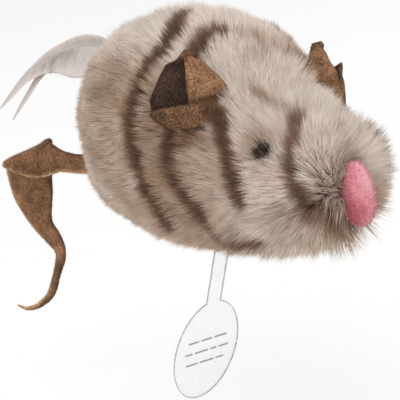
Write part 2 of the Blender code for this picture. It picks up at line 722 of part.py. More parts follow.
def make_screws(finishes):
    head = case_top()
    for word, (x, y) in zip(("front", "rear"), boss_places()):
        place = Matrix.Translation((x, y, head))
        steps = ((SCREW_RADIUS * 0.55, -CASE_LID_HEIGHT - SCREW_LENGTH + SCREW_HEAD_HEIGHT),
                 (SCREW_RADIUS, -CASE_LID_HEIGHT - SCREW_LENGTH + 2 * SCREW_HEAD_HEIGHT),
                 (SCREW_RADIUS, -SCREW_HEAD_HEIGHT), (SCREW_HEAD_RADIUS, -SCREW_HEAD_HEIGHT),
                 (SCREW_HEAD_RADIUS, -SCREW_HEAD_HEIGHT * 0.3), (SCREW_HEAD_RADIUS * 0.7, 0.0))
        smooth(add_object("case_screw_" + word, turned(steps, place, 16), finishes["steel"]))


def make_cells(finishes):
    """Button cells in a row along X, in front of the film tab."""
    start = TAB_X + TAB_THICKNESS / 2 + TAB_SLOT_CLEARANCE
    pitch = CELL_THICKNESS + FIT_GAP
    steps = ((CELL_RADIUS - CELL_EDGE * 3, 0.0), (CELL_RADIUS - CELL_EDGE * 2, CELL_EDGE),
             (CELL_RADIUS - CELL_EDGE, CELL_EDGE), (CELL_RADIUS, CELL_EDGE * 2),
             (CELL_RADIUS, CELL_THICKNESS - CELL_EDGE), (CELL_RADIUS - CELL_EDGE, CELL_THICKNESS))
    for number in range(CELL_COUNT):
        place = Matrix.Translation((start + pitch * number, 0.0, cell_axis()))
        place = place @ Matrix.Rotation(math.pi / 2, 4, "Y")
        smooth(add_object("button_cell_%d" % (number + 1), turned(steps, place), finishes["steel"]))
    return start + pitch * CELL_COUNT


def make_contacts(finishes, stack_end):
    """Springy strips at both ends of the cells, each hooked up under the board."""
    top = board_level() - FIT_GAP
    low = cell_axis() - CELL_RADIUS / 2
    bow = CONTACT_THICKNESS
    for word, near, sign in (("rear", TAB_X - TAB_THICKNESS / 2 - TAB_SLOT_CLEARANCE, -1),
                             ("front", stack_end, 1)):
        line = near + sign * (CONTACT_THICKNESS / 2 + bow)
        points = [Vector((line, 0.0, low)), Vector((line - sign * bow / 2, 0.0, (low + cell_axis()) / 2)),
                  Vector((line - sign * bow, 0.0, cell_axis())),
                  Vector((line - sign * bow / 2, 0.0, (cell_axis() + top) / 2)),
                  Vector((line, 0.0, top - CONTACT_THICKNESS)),
                  Vector((line + sign * CONTACT_FOOT / 2, 0.0, top - CONTACT_THICKNESS / 2))]
        add_object("contact_" + word, bent_strip(points, CONTACT_THICKNESS, CONTACT_WIDTH), finishes["brass"])


def make_board(finishes):
    level = board_level()
    inner_length = CASE_LENGTH - 2 * (CASE_WALL + FIT_GAP)
    inner_width = CASE_WIDTH - 2 * (CASE_WALL + FIT_GAP)
    outline = rounded_rectangle(inner_length, inner_width, CASE_CORNER - CASE_WALL, (case_middle(), 0.0))
    board = add_object("circuit_board", prism(outline, level, level + BOARD_THICKNESS), finishes["board"])
    for number, place in enumerate(boss_places()):
        notch = prism(circle(BOSS_RADIUS + BOARD_MARGIN, 20, place), level - CUT_OVERRUN,
                      level + BOARD_THICKNESS + CUT_OVERRUN)
        combine(board, add_object("board_notch_cut_%d" % number, notch))
        x, y = place
        away = rounded_rectangle(2 * BOSS_INSET, 2 * BOSS_INSET, CASE_WALL,
                                 (x + math.copysign(BOSS_INSET - CASE_WALL, x - case_middle()),
                                  y + math.copysign(BOSS_INSET - CASE_WALL, y)))
        corner = prism(away, level - CUT_OVERRUN, level + BOARD_THICKNESS + CUT_OVERRUN)
        combine(board, add_object("board_corner_cut_%d" % number, corner))
    chip_place = Matrix.Translation((case_middle() - CASE_LENGTH / 4, CASE_WIDTH / 6,
                                     level + BOARD_THICKNESS + FIT_GAP))
    dome = ((CHIP_RADIUS, 0.0), (CHIP_RADIUS * 0.9, CHIP_HEIGHT * 0.5), (CHIP_RADIUS * 0.6, CHIP_HEIGHT * 0.88),
            (CHIP_RADIUS * 0.2, CHIP_HEIGHT))
    smooth(add_object("sound_chip", turned(dome, chip_place), finishes["epoxy"]))


def sounder_top():
    return CASE_LIFT + CASE_BASE_HEIGHT - FIT_GAP


def make_sounder(finishes):
    top = sounder_top()
    place = Matrix.Translation((case_middle(), 0.0, top))
    steps = ((SOUNDER_CERAMIC_RADIUS, -SOUNDER_THICKNESS), (SOUNDER_CERAMIC_RADIUS, -SOUNDER_THICKNESS / 2),
             (SOUNDER_RADIUS, -SOUNDER_THICKNESS / 2), (SOUNDER_RADIUS, 0.0))
    add_object("sounder_disc", turned(steps, place, 32), finishes["brass"])
    board_top = board_level() + BOARD_THICKNESS + FIT_GAP
    for word, side, reach, colour in (("red", 1, SOUNDER_RADIUS * 0.84, "red_lead"),
                                      ("black", -1, SOUNDER_RADIUS * 0.84, "black_lead")):
        foot = Vector((case_middle() + reach * 0.6, side * reach * 0.62, board_top))
        head = Vector((foot.x, foot.y, top - SOUNDER_THICKNESS / 2 - FIT_GAP))
        steps = 6
        points = [foot.lerp(head, step / steps)
                  + Vector((LEAD_BOW * math.sin(math.pi * step / steps), 0.0, 0.0)) for step in range(steps + 1)]
        smooth(add_object("lead_" + word, tube(points, LEAD_RADIUS), finishes[colour]))


def make_vibration_switch(finishes, stack_end):
    """A fine coil hanging from the board round a pin, which it touches when the toy is shaken."""
    top = board_level() - FIT_GAP
    middle = Vector(((stack_end + case_middle() + CASE_LENGTH / 2) / 2, 0.0, 0.0))
    count = SPRING_TURNS * SPRING_POINTS_PER_TURN
    points = []
    for step in range(count + 1):
        turn = math.tau * step / SPRING_POINTS_PER_TURN
        points.append(middle + Vector((SPRING_RADIUS * math.cos(turn), SPRING_RADIUS * math.sin(turn),
                                       top - SPRING_WIRE_RADIUS - SPRING_HEIGHT * step / count)))
    pitch = SPRING_HEIGHT / SPRING_TURNS
    print("vibration spring gap between turns: %.2f mm" % ((pitch - 2 * SPRING_WIRE_RADIUS) / MM))
    smooth(add_object("vibration_spring", tube(points, SPRING_WIRE_RADIUS, 6), finishes["steel"]))
    place = Matrix.Translation(middle + Vector((0.0, 0.0, top)))
    steps = ((PIN_RADIUS * 0.5, -PIN_HEIGHT), (PIN_RADIUS, -PIN_HEIGHT + PIN_RADIUS), (PIN_RADIUS, 0.0))
    smooth(add_object("vibration_pin", turned(steps, place, 12), finishes["steel"]))


def main():
    clear_scene()
    finishes = {
        "pile": material("striped_pile", "AB9989", 0.95),
        "fibre": material("polyester_fibre", "ECE9E2", 0.95),
        "suede": material("brown_suede", "75593F", 0.9),
        "thread": material("dark_thread", "33241B", 0.7),
        "felt": material("pink_felt", "CA787C", 0.9),
        "feather": material("white_feather", "E6E1DC", 0.6),
        "film": material("clear_film", "F2F4F4", 0.15, alpha=0.35),
        "shell": material("white_abs", "E4E2DC", 0.45),
        "steel": material("nickel_plate", "B9BBBD", 0.3, 1.0),
        "brass": material("brass_sheet", "B99A5B", 0.35, 1.0),
        "board": material("green_board", "2F6B46", 0.5),
        "epoxy": material("black_epoxy", "1B1B1C", 0.35),
        "red_lead": material("red_insulation", "B3302B", 0.5),
        "black_lead": material("black_insulation", "222222", 0.5),
    }
    envelope = add_object("body_envelope_cut", closed_body(-FIT_GAP, 56))
    make_body(finishes)
    make_head(finishes, envelope)
    make_tail(finishes)
    make_feathers(finishes)
    make_tab(finishes)
    make_case(finishes)
    make_screws(finishes)
    stack_end = make_cells(finishes)
    make_contacts(finishes, stack_end)
    make_board(finishes)
    make_sounder(finishes)
    make_vibration_switch(finishes, stack_end)


main()
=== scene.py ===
"""Looks of the plush mouse: pile, suede, felt, feathers, film and the sound module's finishes."""

import math

import bmesh
import bpy
import numpy as np
from mathutils import Matrix, Vector
from mathutils.bvhtree import BVHTree
from mathutils.kdtree import KDTree


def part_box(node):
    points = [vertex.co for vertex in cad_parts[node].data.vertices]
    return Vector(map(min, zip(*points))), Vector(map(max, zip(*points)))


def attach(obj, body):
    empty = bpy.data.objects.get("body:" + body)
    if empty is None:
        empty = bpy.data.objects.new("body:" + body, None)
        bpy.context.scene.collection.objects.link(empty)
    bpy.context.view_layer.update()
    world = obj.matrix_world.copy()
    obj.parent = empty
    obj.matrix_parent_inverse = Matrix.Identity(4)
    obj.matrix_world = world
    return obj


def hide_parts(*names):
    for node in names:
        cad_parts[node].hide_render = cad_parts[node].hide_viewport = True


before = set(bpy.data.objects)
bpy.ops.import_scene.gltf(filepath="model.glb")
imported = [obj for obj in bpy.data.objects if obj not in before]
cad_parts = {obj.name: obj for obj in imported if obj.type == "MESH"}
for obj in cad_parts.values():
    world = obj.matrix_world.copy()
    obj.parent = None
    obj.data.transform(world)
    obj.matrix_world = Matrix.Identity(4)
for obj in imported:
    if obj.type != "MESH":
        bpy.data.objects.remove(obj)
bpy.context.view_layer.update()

bl_info = {
    "name": "Plush Mouse Toy",
    "version": (1, 0, 0),
    "blender": (4, 5, 0),
    "location": "View3D > Sidebar > Plush Mouse",
    "description": "Dresses a stuffed mouse: pile, suede, felt, feathers and film",
    "category": "Object",
}

MM = 0.001

# Body form, the same numbers as the solid model's

BODY_LENGTH = 104.0 * MM
BODY_HALF_WIDTH = 32.0 * MM
BODY_HEIGHT = 62.0 * MM
BELLY_FLAT_DEPTH = 0.5 * MM
INSET_FADE = 12.0 * MM
TOP_SQUARENESS = 2.3
BELLY_SQUARENESS = 2.6
BELLY_SEAM_DEGREES = 50.0
POLE_SHARE = 0.0012
# Share of the length, half width, top, bottom
PROFILE_SHARES = np.array((
    (0.00, 0.000, 0.510, 0.510), (0.02, 0.440, 0.760, 0.270), (0.07, 0.720, 0.880, 0.125),
    (0.16, 0.870, 0.985, 0.070), (0.28, 0.985, 1.000, 0.042), (0.42, 0.955, 1.000, 0.010),
    (0.54, 0.860, 0.935, 0.000), (0.64, 0.740, 0.795, 0.000), (0.74, 0.675, 0.680, 0.008),
    (0.84, 0.625, 0.620, 0.030), (0.93, 0.585, 0.570, 0.085), (0.98, 0.370, 0.480, 0.170),
    (1.00, 0.000, 0.310, 0.310)))

EAR_SPAN = 21.0 * MM
EAR_HEIGHT = 12.4 * MM
EAR_ROOT_DEPTH = 7.0 * MM
# Side, share along the body, angle up from that side, then the flap's edge as part of the loop and height
EAR_PLACES = (
    ("left", 1, 0.645, 37.0, ((0.64, 0.12), (0.68, 0.06), (0.74, 0.27), (0.80, 0.33), (0.86, 0.20), (0.93, -0.05))),
    ("right", -1, 0.62, 48.0, ((0.64, -0.08), (0.72, -0.08), (0.80, -0.12), (0.87, -0.17), (0.93, -0.28))))
EAR_TIP_SHARES = (0.03, 0.03)
EAR_TIP_THINNING = 1.2
EAR_WING_SHARE = 0.64
EAR_LOOP_END = 0.93
# How much higher the two loose corners are sewn in, as part of the height
EAR_CORNER = 0.26
EAR_LOOP_SHARES = np.array((
    (-0.41, 0.38), (-0.16, 0.10), (0.08, -0.20), (0.19, -0.34), (0.27, -0.29),
    (0.28, -0.08), (0.25, 0.10), (0.12, 0.26), (-0.10, 0.37), (-0.33, 0.42)))

EYE_SHARE = 0.880
EYE_DEGREES = 44.0
EYE_CLEARING = 2.5 * MM
# How wide the pile parts round the eye, and how far out it does so
EYE_PARTING = EYE_CLEARING * 1.25
EYE_REACH = 10 * MM
NOSE_MIDDLE = Vector((54.4, 1.2, 18.6)) * MM
NOSE_HALVES = (3.8 * MM, 8.1 * MM, 5.0 * MM)
NOSE_SQUARENESS = 2.4
# The bare ground that the nose is sewn on, as parts of its half width and half height, and where it starts
NOSE_SEAT = (0.86, 0.88)
NOSE_SEAT_FROM = 42 * MM

TAIL_ROOT = Vector((-52.217, 0.0, 19.964)) * MM
TAIL_BEARING = math.radians(36.9)
TAIL_OUTWARD = Vector((-math.cos(TAIL_BEARING), -math.sin(TAIL_BEARING), 0.0))
TAIL_FACE = Vector((-TAIL_OUTWARD.y, TAIL_OUTWARD.x, 0.0))
TAIL_REACH = 45.5 * MM
TAIL_ROOT_HEIGHT = 5.6 * MM
TAIL_FOLD_LENGTH = 17.6 * MM
TAIL_FOLD_ANGLE = math.radians(20.7)
TAIL_FOLD_SAG = 2.6 * MM
TAIL_OPEN_ANGLE = math.radians(4.0)
TAIL_HANG = 45.0 * MM
TAIL_SEWN_DEPTH = 3.5 * MM
TAIL_LAYER = 0.85 * MM
TAIL_ROLL_NESTING = 0.93
TAIL_ROLL_INSET = 0.5 * MM
# Share of the reach, upper edge, lower edge
TAIL_UPPER_SHARES = ((0.10, 0.050, -0.068), (0.24, 0.045, -0.082), (0.42, 0.033, -0.092),
                     (0.53, 0.058, -0.076), (0.60, 0.101, -0.068))
# Outward, down, half width, twist in degrees
TAIL_LOWER_SHARES = (
    (0.034, 0.170, 0.158, 0), (0.034, 0.282, 0.146, 0), (0.030, 0.384, 0.120, 5),
    (0.010, 0.497, 0.082, 12), (-0.038, 0.593, 0.074, 20), (-0.066, 0.659, 0.076, 35),
    (-0.071, 0.727, 0.072, 50), (-0.049, 0.795, 0.064, 54), (-0.020, 0.865, 0.048, 46),
    (0.022, 0.935, 0.034, 32), (0.082, 1.007, 0.024, 20), (0.165, 1.060, 0.018, 10),
    (0.245, 1.072, 0.011, 0), (0.308, 1.044, 0.0045, 0))

FEATHER_BASE = Vector((-51.533, 0.0, 42.78)) * MM
SLIM_FEATHER_BASE = Vector((-51.766, 0.0, 40.92)) * MM
FEATHER_SPREAD_SHARE = 0.25
FEATHER_LAYER = 1.5 * MM
FEATHER_LENGTH = 45.0 * MM
# The quill lies nearer the upper edge: how far above the vane's middle, as part of the half width
QUILL_RISE = 0.5
# Share outward, rise, half width
BROAD_FEATHER_SHARES = ((0.00, 0.000, 0.014), (0.07, 0.055, 0.030), (0.15, 0.135, 0.115),
                        (0.27, 0.158, 0.140), (0.40, 0.150, 0.126), (0.52, 0.143, 0.086),
                        (0.64, 0.108, 0.048), (0.76, 0.042, 0.028), (0.88, -0.055, 0.017),
                        (0.97, -0.130, 0.004))
NARROW_FEATHER_SHARES = ((0.00, -0.010, 0.014), (0.10, 0.012, 0.018), (0.25, 0.078, 0.022),
                         (0.45, 0.127, 0.022), (0.58, 0.138, 0.021), (0.67, 0.082, 0.020),
                         (0.75, -0.003, 0.018), (0.83, -0.088, 0.014), (0.91, -0.178, 0.004))

TAB_X = -14.6 * MM
TAB_FOLD_DROP = 1.75 * MM
TAB_FOLD_GAP = 0.25 * MM
TAB_THICKNESS = 0.35 * MM
TAB_STEM_WIDTH = 4.8 * MM
TAB_STEM_LENGTH = 21.2 * MM
TAB_OVAL_LENGTH = 36.5 * MM
TAB_OVAL_WIDTH = 21.0 * MM
TAB_TILT = math.radians(30.0)
# The slit in the belly and the bare ground round it: half length, half width. The cut's bottom and top
TAB_SLIT = (0.5 * MM, 2.8 * MM)
TAB_CLEARING = (0.9 * MM, 3.1 * MM)
TAB_SLIT_HEIGHTS = (-10 * MM, 12 * MM)

# Pile: how it is cut and combed

BACKING_THICKNESS = 0.7 * MM
# Share of the length, inset of the backing, length of the pile, lean at the root, lean at the tip
PILE_SHARES = np.array((
    (0.00, 3.4, 4.0, 8, 20), (0.08, 3.4, 4.6, 20, 42), (0.25, 3.2, 5.8, 36, 62),
    (0.50, 3.2, 6.4, 38, 66), (0.66, 4.0, 7.6, 34, 62), (0.85, 4.6, 8.0, 30, 56),
    (0.94, 4.5, 7.6, 32, 62), (0.975, 4.2, 7.4, 42, 78), (1.00, 4.0, 7.4, 40, 82)))
# Round the nose the pile stands up along the felt and bends away: reach, length in mm, lean at root and tip. Against
# the felt it is dyed brown: reach, strength
NOSE_RIM = (3.6 * MM, 14.0, -24.0, 62.0)
NOSE_RIM_DYE = (1.1 * MM, 0.38)
# Where round the nose and along the body this starts
NOSE_RIM_START = 0.9
NOSE_RIM_FROM = 40 * MM
# On the back, on the left cheek and round the ears the pile stands up: how much longer in mm, and how many degrees
# steeper
BACK_FLUFF = (1.3, 16.0)
CHEEK_FLUFF = (1.0, 32.0)
EAR_FLUFF = (1.0, 42.0)
EAR_FLUFF_REACH = 4.2 * MM
# Degrees that the pile swirls over wide and narrow bumps and from strand to strand, and that strands tilt
PILE_SWIRL = (22.0, 12.0, 9.0)
PILE_TILT = 7.0
# The range of lengths as parts of the pile's own, and the share of stray strands with how much longer they are
PILE_LENGTHS = (0.72, 1.08)
PILE_STRAYS = (0.03, 1.12)
PILE_SAG = 0.10
# How much the tone varies from tuft to tuft, from strand to strand and over wide bumps
PILE_TONES = (0.09, 0.11, 0.05)
# Where along a strand it turns pale: first and last place, and how far they wander
PILE_TURNING = (0.12, 0.50, 0.10)
# Stripes of the right half as half width in mm, strength, and stops of share and degrees. The left half has the
# first eight and the last one turned over, fading out towards the back, and one of its own on the cheek
LEFT_STRIPES = 8
LEFT_FADE_DEGREES = (42.0, 64.0)
CHEEK_STRIPE = (2.0, 0.8, ((0.842, 58), (0.874, 45), (0.900, 25), (0.912, 5), (0.915, -20)))
STRIPES = (
    (2.4, 1.00, ((0.376, 92), (0.425, 99.5), (0.452, 105.5), (0.470, 113), (0.478, 122), (0.478, 137))),
    (2.7, 1.00, ((0.478, 137), (0.478, 152), (0.475, 163), (0.474, 174), (0.477, 182))),
    (2.0, 0.95, ((0.477, 182), (0.484, 188), (0.496, 196), (0.504, 204), (0.513, 214))),
    (2.2, 0.90, ((0.534, 92), (0.542, 99), (0.553, 106), (0.567, 113), (0.582, 124))),
    (1.8, 0.80, ((0.584, 124), (0.592, 138), (0.598, 150))),
    (1.7, 0.90, ((0.598, 150), (0.601, 161), (0.588, 172), (0.578, 179), (0.590, 184), (0.605, 188))),
    (2.1, 0.95, ((0.605, 188), (0.627, 193), (0.645, 202), (0.655, 212), (0.675, 220), (0.700, 224))),
    (2.2, 0.95, ((0.690, 130), (0.719, 138), (0.742, 149), (0.765, 158), (0.790, 168), (0.815, 181))),
    (1.2, 0.36, ((0.700, 97), (0.740, 98), (0.780, 98), (0.820, 96))),
    (1.9, 0.66, ((0.864, 96.5), (0.882, 101), (0.912, 112), (0.938, 125), (0.957, 141))),
    (1.8, 0.72, ((0.957, 141), (0.967, 157), (0.976, 174), (0.981, 190))),
    (2.5, 0.40, ((0.981, 190), (0.984, 218), (0.981, 249), (0.964, 268))),
    (1.6, 0.75, ((0.675, 222), (0.725, 219), (0.764, 220), (0.828, 220))))
# Faint brown patches: share, degrees, radius in mm, strength
PATCHES = ((0.347, 135, 3.5, 0.20), (0.315, 153, 4.0, 0.22), (0.575, 77, 2.4, 0.36),
           (0.571, 66, 2.0, 0.20), (0.830, 128, 4.2, 0.26), (0.600, 62, 3.0, 0.22),
           (0.760, 168, 6.0, 0.12), (0.640, 150, 5.5, 0.22))
STRIPE_EDGE = 2.2 * MM
STRIPE_WANDER = 0.5 * MM
# How tan the flanks are along the body, partly the pile's own colour and partly painted shade where the flanks turn
# from the light: shares, then amounts
FLANK_TAN_AND_SHADE = ((0.0, 0.35, 0.48, 0.56, 0.66, 0.78, 1.0), (0.55, 0.62, 0.72, 0.90, 0.86, 0.30, 0.15))
# The parts that a side panel's pile is planted in: end of the name, first and last share
PILE_CUTS = (("_rump", 0.0, 0.26), ("_flank", 0.26, 0.50), ("_shoulder", 0.50, 0.74), ("_head", 0.74, 1.0))
PILE_GRID = 40
PILE_STEPS = 4
# How many strands draw together into a tuft
PILE_TUFT = 16
EYE_TUFT = 9
# How far strands are shaded as the surface below them
PILE_SOFTNESS = 0.62
NAP_SOFTNESS = 0.6
EYE_SOFTNESS = 0.4
DOWN_SOFTNESS = 0.7
# Length of a strand as it is planted, before it is laid along its path
PLANTED_LENGTH = 5 * MM
STRAND_SIDES = 3

PANEL_GAP_DEGREES = 0.25
PANEL_TUCK = 0.5 * MM
PANEL_ROWS = 60
PANEL_COLUMNS = {"left": 49, "right": 49, "belly": 37}
STUFFING_GRID = (44, 64)
STUFFING_SHRINK = 0.6 * MM
POCKET_CLEARANCE = 0.3 * MM

# Naps: number of fibres, length, radius, then how far they stray and how much their tone varies
EAR_NAP = (18000, 0.45 * MM, 0.085 * MM, 0.45, 0.60)
TAIL_NAP = (9000, 0.6 * MM, 0.05 * MM, 1.2, 0.45)
NOSE_NAP = (9000, 0.9 * MM, 0.06 * MM, 1.3, 0.34)

EAR_ROWS = 44
EYE_STRANDS = 1100
EYE_STRAND_LENGTH = 5.6 * MM
# How far the stitches stray from the eye's middle: share, degrees
EYE_STRAY = (0.0115, 3.6)
NOSE_RINGS = 40
NOSE_COLUMNS = 72
# How far the felt bulges at the front and at the back, as parts of its depth
NOSE_BULGES = (0.88, 1.25)

TAIL_ROLL_STEPS = 12
TAIL_COLUMNS = 26
# Rows and curl of the upper and the lower length
TAIL_ROWS = (90, 120)
TAIL_CURLS = (0.02, 0.22)
# Painted light and shade along the hanging length, a lit band at the twist and painted shade below it: place, reach,
# amount
TAIL_DROP_PAINTED_LIGHT = ((0.47, 0.05, 0.6), (0.58, 0.04, -0.35), (0.68, 0.05, -0.3), (0.88, 0.08, -0.2))

FEATHER_STATIONS = 260
BARB_STEPS = 9
# How many barbs hold together before the vane parts, and the bare stations at its foot and its tip
BARB_RUNS = (45, 110)
VANE_ENDS = (10, 6)
BARB_THICKNESS = 0.05 * MM
BARB_RIDGE = 0.014 * MM
QUILL_RADIUS = 0.26 * MM
QUILL_SIDES = 10
QUILL_STEP = 4
DOWN_COUNT = 620
# Loose barbs at the quill's foot: how many there are, and the last station they grow from
DOWN_FOOT = (260, 44)

TAB_EDGE_WIDTH = 0.22 * MM
TAB_FACE_SHARE = 0.8
RULE_HALF_HEIGHT = 0.3 * MM
RULE_THICKNESS = 0.03 * MM
# Printed rules: height on the oval and spans across it, in mm
TAB_RULES = ((4.2, ((-6.4, -3.0), (-2.2, 1.4), (2.2, 6.2))),
             (0.0, ((-7.0, -4.6), (-3.8, 0.6), (1.4, 3.4), (4.2, 7.2))),
             (-4.2, ((-6.2, -2.4), (-1.6, 3.0), (3.8, 6.4))))

VIEW_BEARING = math.radians(60.0)
VIEW_RISE = math.radians(13.0)
VIEW_ROLL = math.radians(-9.0)
VIEW_DISTANCE = 620.0 * MM
VIEW_PIXELS_PER_METRE = 3720.0
PHOTO_PIXELS = 400.0
ORIGIN_PIXEL = (250.0, 242.0)
SENSOR = 36.0
FLOOR_HALF = 3.0
# How far the floor is lit as plain white where the camera sees it
FLOOR_WHITENESS = 0.72
# Place, target, size, power as part of the main lamp's
LAMPS = {"main_lamp": ((0.45, -0.30, 0.75), (0.0, 0.0, 0.03), 0.55, 1.0),
         "fill_lamp": ((-0.20, -0.80, 0.30), (0.0, 0.0, 0.02), 0.60, 0.35),
         "front_lamp": ((0.75, 0.40, 0.25), (0.03, 0.0, 0.02), 0.50, 0.35),
         "rear_lamp": ((-0.35, 0.65, 0.60), (0.0, 0.0, 0.03), 0.60, 0.45)}


# Body form

def steady_slopes(column):
    """Slopes for a smooth curve through one column of the profile that never overshoots."""
    shares, values = PROFILE_SHARES[:, 0], PROFILE_SHARES[:, column]
    steps = np.diff(shares)
    rises = np.diff(values) / steps
    slopes = [rises[0]]
    for i in range(1, len(rises)):
        if rises[i - 1] * rises[i] <= 0:
            slopes.append(0.0)
        else:
            first = 2 * steps[i] + steps[i - 1]
            second = steps[i] + 2 * steps[i - 1]
            slopes.append((first + second) / (first / rises[i - 1] + second / rises[i]))
    return np.array(slopes + [rises[-1]])


SLOPES = {column: steady_slopes(column) for column in (1, 2, 3)}


def profile(share, column):
    shares = PROFILE_SHARES[:, 0]
    index = np.clip(np.searchsorted(shares, share, side="left") - 1, 0, len(shares) - 2)
    span = shares[index + 1] - shares[index]
    part = (share - shares[index]) / span
    start, end = PROFILE_SHARES[index, column], PROFILE_SHARES[index + 1, column]
    leave, arrive = SLOPES[column][index] * span, SLOPES[column][index + 1] * span
    return ((2 * part ** 3 - 3 * part ** 2 + 1) * start + (part ** 3 - 2 * part ** 2 + part) * leave
            + (3 * part ** 2 - 2 * part ** 3) * end + (part ** 3 - part ** 2) * arrive)


def body_points(share, degrees, inset=0.0):
    """Points of the body, 0 degrees at its left side and 90 on its back, set in by an inset."""
    share, degrees = np.asarray(share, float), np.radians(np.asarray(degrees, float))
    half_width = profile(share, 1) * BODY_HALF_WIDTH
    top = profile(share, 2) * BODY_HEIGHT - BELLY_FLAT_DEPTH
    bottom = profile(share, 3) * BODY_HEIGHT - BELLY_FLAT_DEPTH
    half_height, middle = (top - bottom) / 2, (top + bottom) / 2
    half_width = half_width - inset * np.minimum(1.0, half_width / INSET_FADE)
    half_height = half_height - inset * np.minimum(1.0, half_height / INSET_FADE)
    across, up = np.cos(degrees), np.sin(degrees)
    power = np.where(up >= 0, 2 / TOP_SQUARENESS, 2 / BELLY_SQUARENESS)
    return np.stack([(share - 0.5) * (BODY_LENGTH - 2 * inset),
                     half_width * np.sign(across) * np.abs(across) ** power,
                     middle + half_height * np.sign(up) * np.abs(up) ** power], axis=-1)


def unit(vectors):
    return vectors / np.maximum(np.linalg.norm(vectors, axis=-1, keepdims=True), 1e-12)


def body_directions(share, degrees):
    """Outward and rearward unit vectors of the body's surface, turning to the axis at its two ends."""
    inner = np.clip(share, 0.008, 0.992)
    along = body_points(inner + 0.005, degrees) - body_points(inner - 0.005, degrees)
    around = body_points(inner, degrees + 2.0) - body_points(inner, degrees - 2.0)
    outward, rearward = unit(np.cross(around, along)), -unit(along)
    fullness = (profile(share, 1) / np.maximum(profile(inner, 1), 1e-6))[:, None]
    end = np.sign(share - 0.5)[:, None] * np.array((1.0, 0.0, 0.0))
    return unit(outward * fullness + end * (1 - fullness)), rearward


def pile_column(share, column):
    return np.interp(share, PILE_SHARES[:, 0], PILE_SHARES[:, column])


def backing_inset(share):
    return pile_column(share, 1) * MM


# Meshes

def add_mesh(name, points, faces, finish=None, smooth=True):
    mesh = bpy.data.meshes.new(name)
    mesh.from_pydata([tuple(point) for point in points], [], faces)
    if smooth:
        mesh.polygons.foreach_set("use_smooth", [True] * len(mesh.polygons))
    if finish:
        mesh.materials.append(finish)
    made = bpy.data.objects.new(name, mesh)
    bpy.context.scene.collection.objects.link(made)
    return made


def grid_faces(rows, columns, start=0, closed=False, flip=False):
    faces = []
    for row in range(rows - 1):
        for column in range(columns if closed else columns - 1):
            after = (column + 1) % columns
            a, b = start + row * columns + column, start + row * columns + after
            face = (a, b, b + columns, a + columns)
            faces.append(face[::-1] if flip else face)
    return faces


def slab(front, back):
    """Points and faces of a closed slab between two grids of the same size."""
    rows, columns = front.shape[:2]
    count = rows * columns
    faces = grid_faces(rows, columns) + grid_faces(rows, columns, count, flip=True)
    rim = [(0, c) for c in range(columns - 1)] + [(r, columns - 1) for r in range(rows - 1)]
    rim += [(rows - 1, c) for c in range(columns - 1, 0, -1)] + [(r, 0) for r in range(rows - 1, 0, -1)]
    loop = [r * columns + c for r, c in rim]
    for here, after in zip(loop, loop[1:] + loop[:1]):
        faces.append((after, here, count + here, count + after))
    return np.concatenate([front.reshape(-1, 3), back.reshape(-1, 3)]), faces


def grid_normals(grid):
    down = np.gradient(grid, axis=0)
    across = np.gradient(grid, axis=1)
    return unit(np.cross(across, down))


def store(mesh, name, values, kind="FLOAT", domain="POINT"):
    layer = mesh.attributes.new(name, kind, domain)
    field = {"FLOAT": "value", "FLOAT_VECTOR": "vector", "FLOAT_COLOR": "color"}[kind]
    layer.data.foreach_set(field, np.asarray(values, np.float32).ravel())


def store_dye(mesh, shades):
    """Store a colour without alpha for each vertex."""
    shades = np.asarray(shades, float).reshape(-1, 3)
    store(mesh, "dye", np.concatenate([shades, np.ones((len(shades), 1))], axis=1), "FLOAT_COLOR")


def read(mesh, name, width=1):
    data = mesh.attributes[name].data
    values = np.empty(len(data) * width, np.float32)
    data.foreach_get({1: "value", 3: "vector", 4: "color"}[width], values)
    return values.astype(float).reshape(-1, width) if width > 1 else values.astype(float)


def coordinates(mesh):
    points = np.empty(len(mesh.vertices) * 3, np.float32)
    mesh.vertices.foreach_get("co", points)
    return points.astype(float).reshape(-1, 3)


def as_plain_mesh(item):
    """Replace an object's mesh by what its modifiers make of it, and remove them."""
    graph = bpy.context.evaluated_depsgraph_get()
    made = bpy.data.meshes.new_from_object(item.evaluated_get(graph), preserve_all_data_layers=True,
                                           depsgraph=graph)
    item.modifiers.clear()
    item.data = made


def cut_away(item, points, faces):
    cutter = add_mesh(item.name + "_cutter", points, faces, smooth=False)
    modifier = item.modifiers.new("cut", "BOOLEAN")
    modifier.operation, modifier.solver, modifier.object = "DIFFERENCE", "EXACT", cutter
    as_plain_mesh(item)
    bpy.data.objects.remove(cutter)


def block(low, high):
    points = [(x, y, z) for x in (low[0], high[0]) for y in (low[1], high[1]) for z in (low[2], high[2])]
    return points, [(0, 1, 3, 2), (4, 6, 7, 5), (0, 4, 5, 1), (2, 3, 7, 6), (0, 2, 6, 4), (1, 5, 7, 3)]


def smooth_step(low, high, value):
    part = np.clip((value - low) / (high - low), 0, 1)
    return part * part * (3 - 2 * part)


def soft_noise(points, size, seed):
    """A smooth field from -1 to 1 whose bumps are about size across."""
    random = np.random.default_rng(seed)
    total = np.zeros(len(points))
    for _ in range(9):
        wave = unit(random.normal(size=3)) * random.uniform(0.6, 1.5) * math.pi / size
        total += np.sin(points @ wave + random.uniform(0, math.tau))
    return total / 3.4


# Materials

def colour(hex_value):
    """A hex sRGB colour as linear RGBA."""
    parts = [int(hex_value[i:i + 2], 16) / 255 for i in (1, 3, 5)]
    return tuple(p / 12.92 if p <= 0.04045 else ((p + 0.055) / 1.055) ** 2.4 for p in parts) + (1.0,)


def tint(hex_value):
    return np.array(colour(hex_value)[:3])


def feed(tree, node, inputs):
    """Set or link a node's inputs."""
    for key, value in inputs.items():
        if isinstance(value, bpy.types.NodeSocket):
            tree.links.new(value, node.inputs[key])
        else:
            node.inputs[key].default_value = value


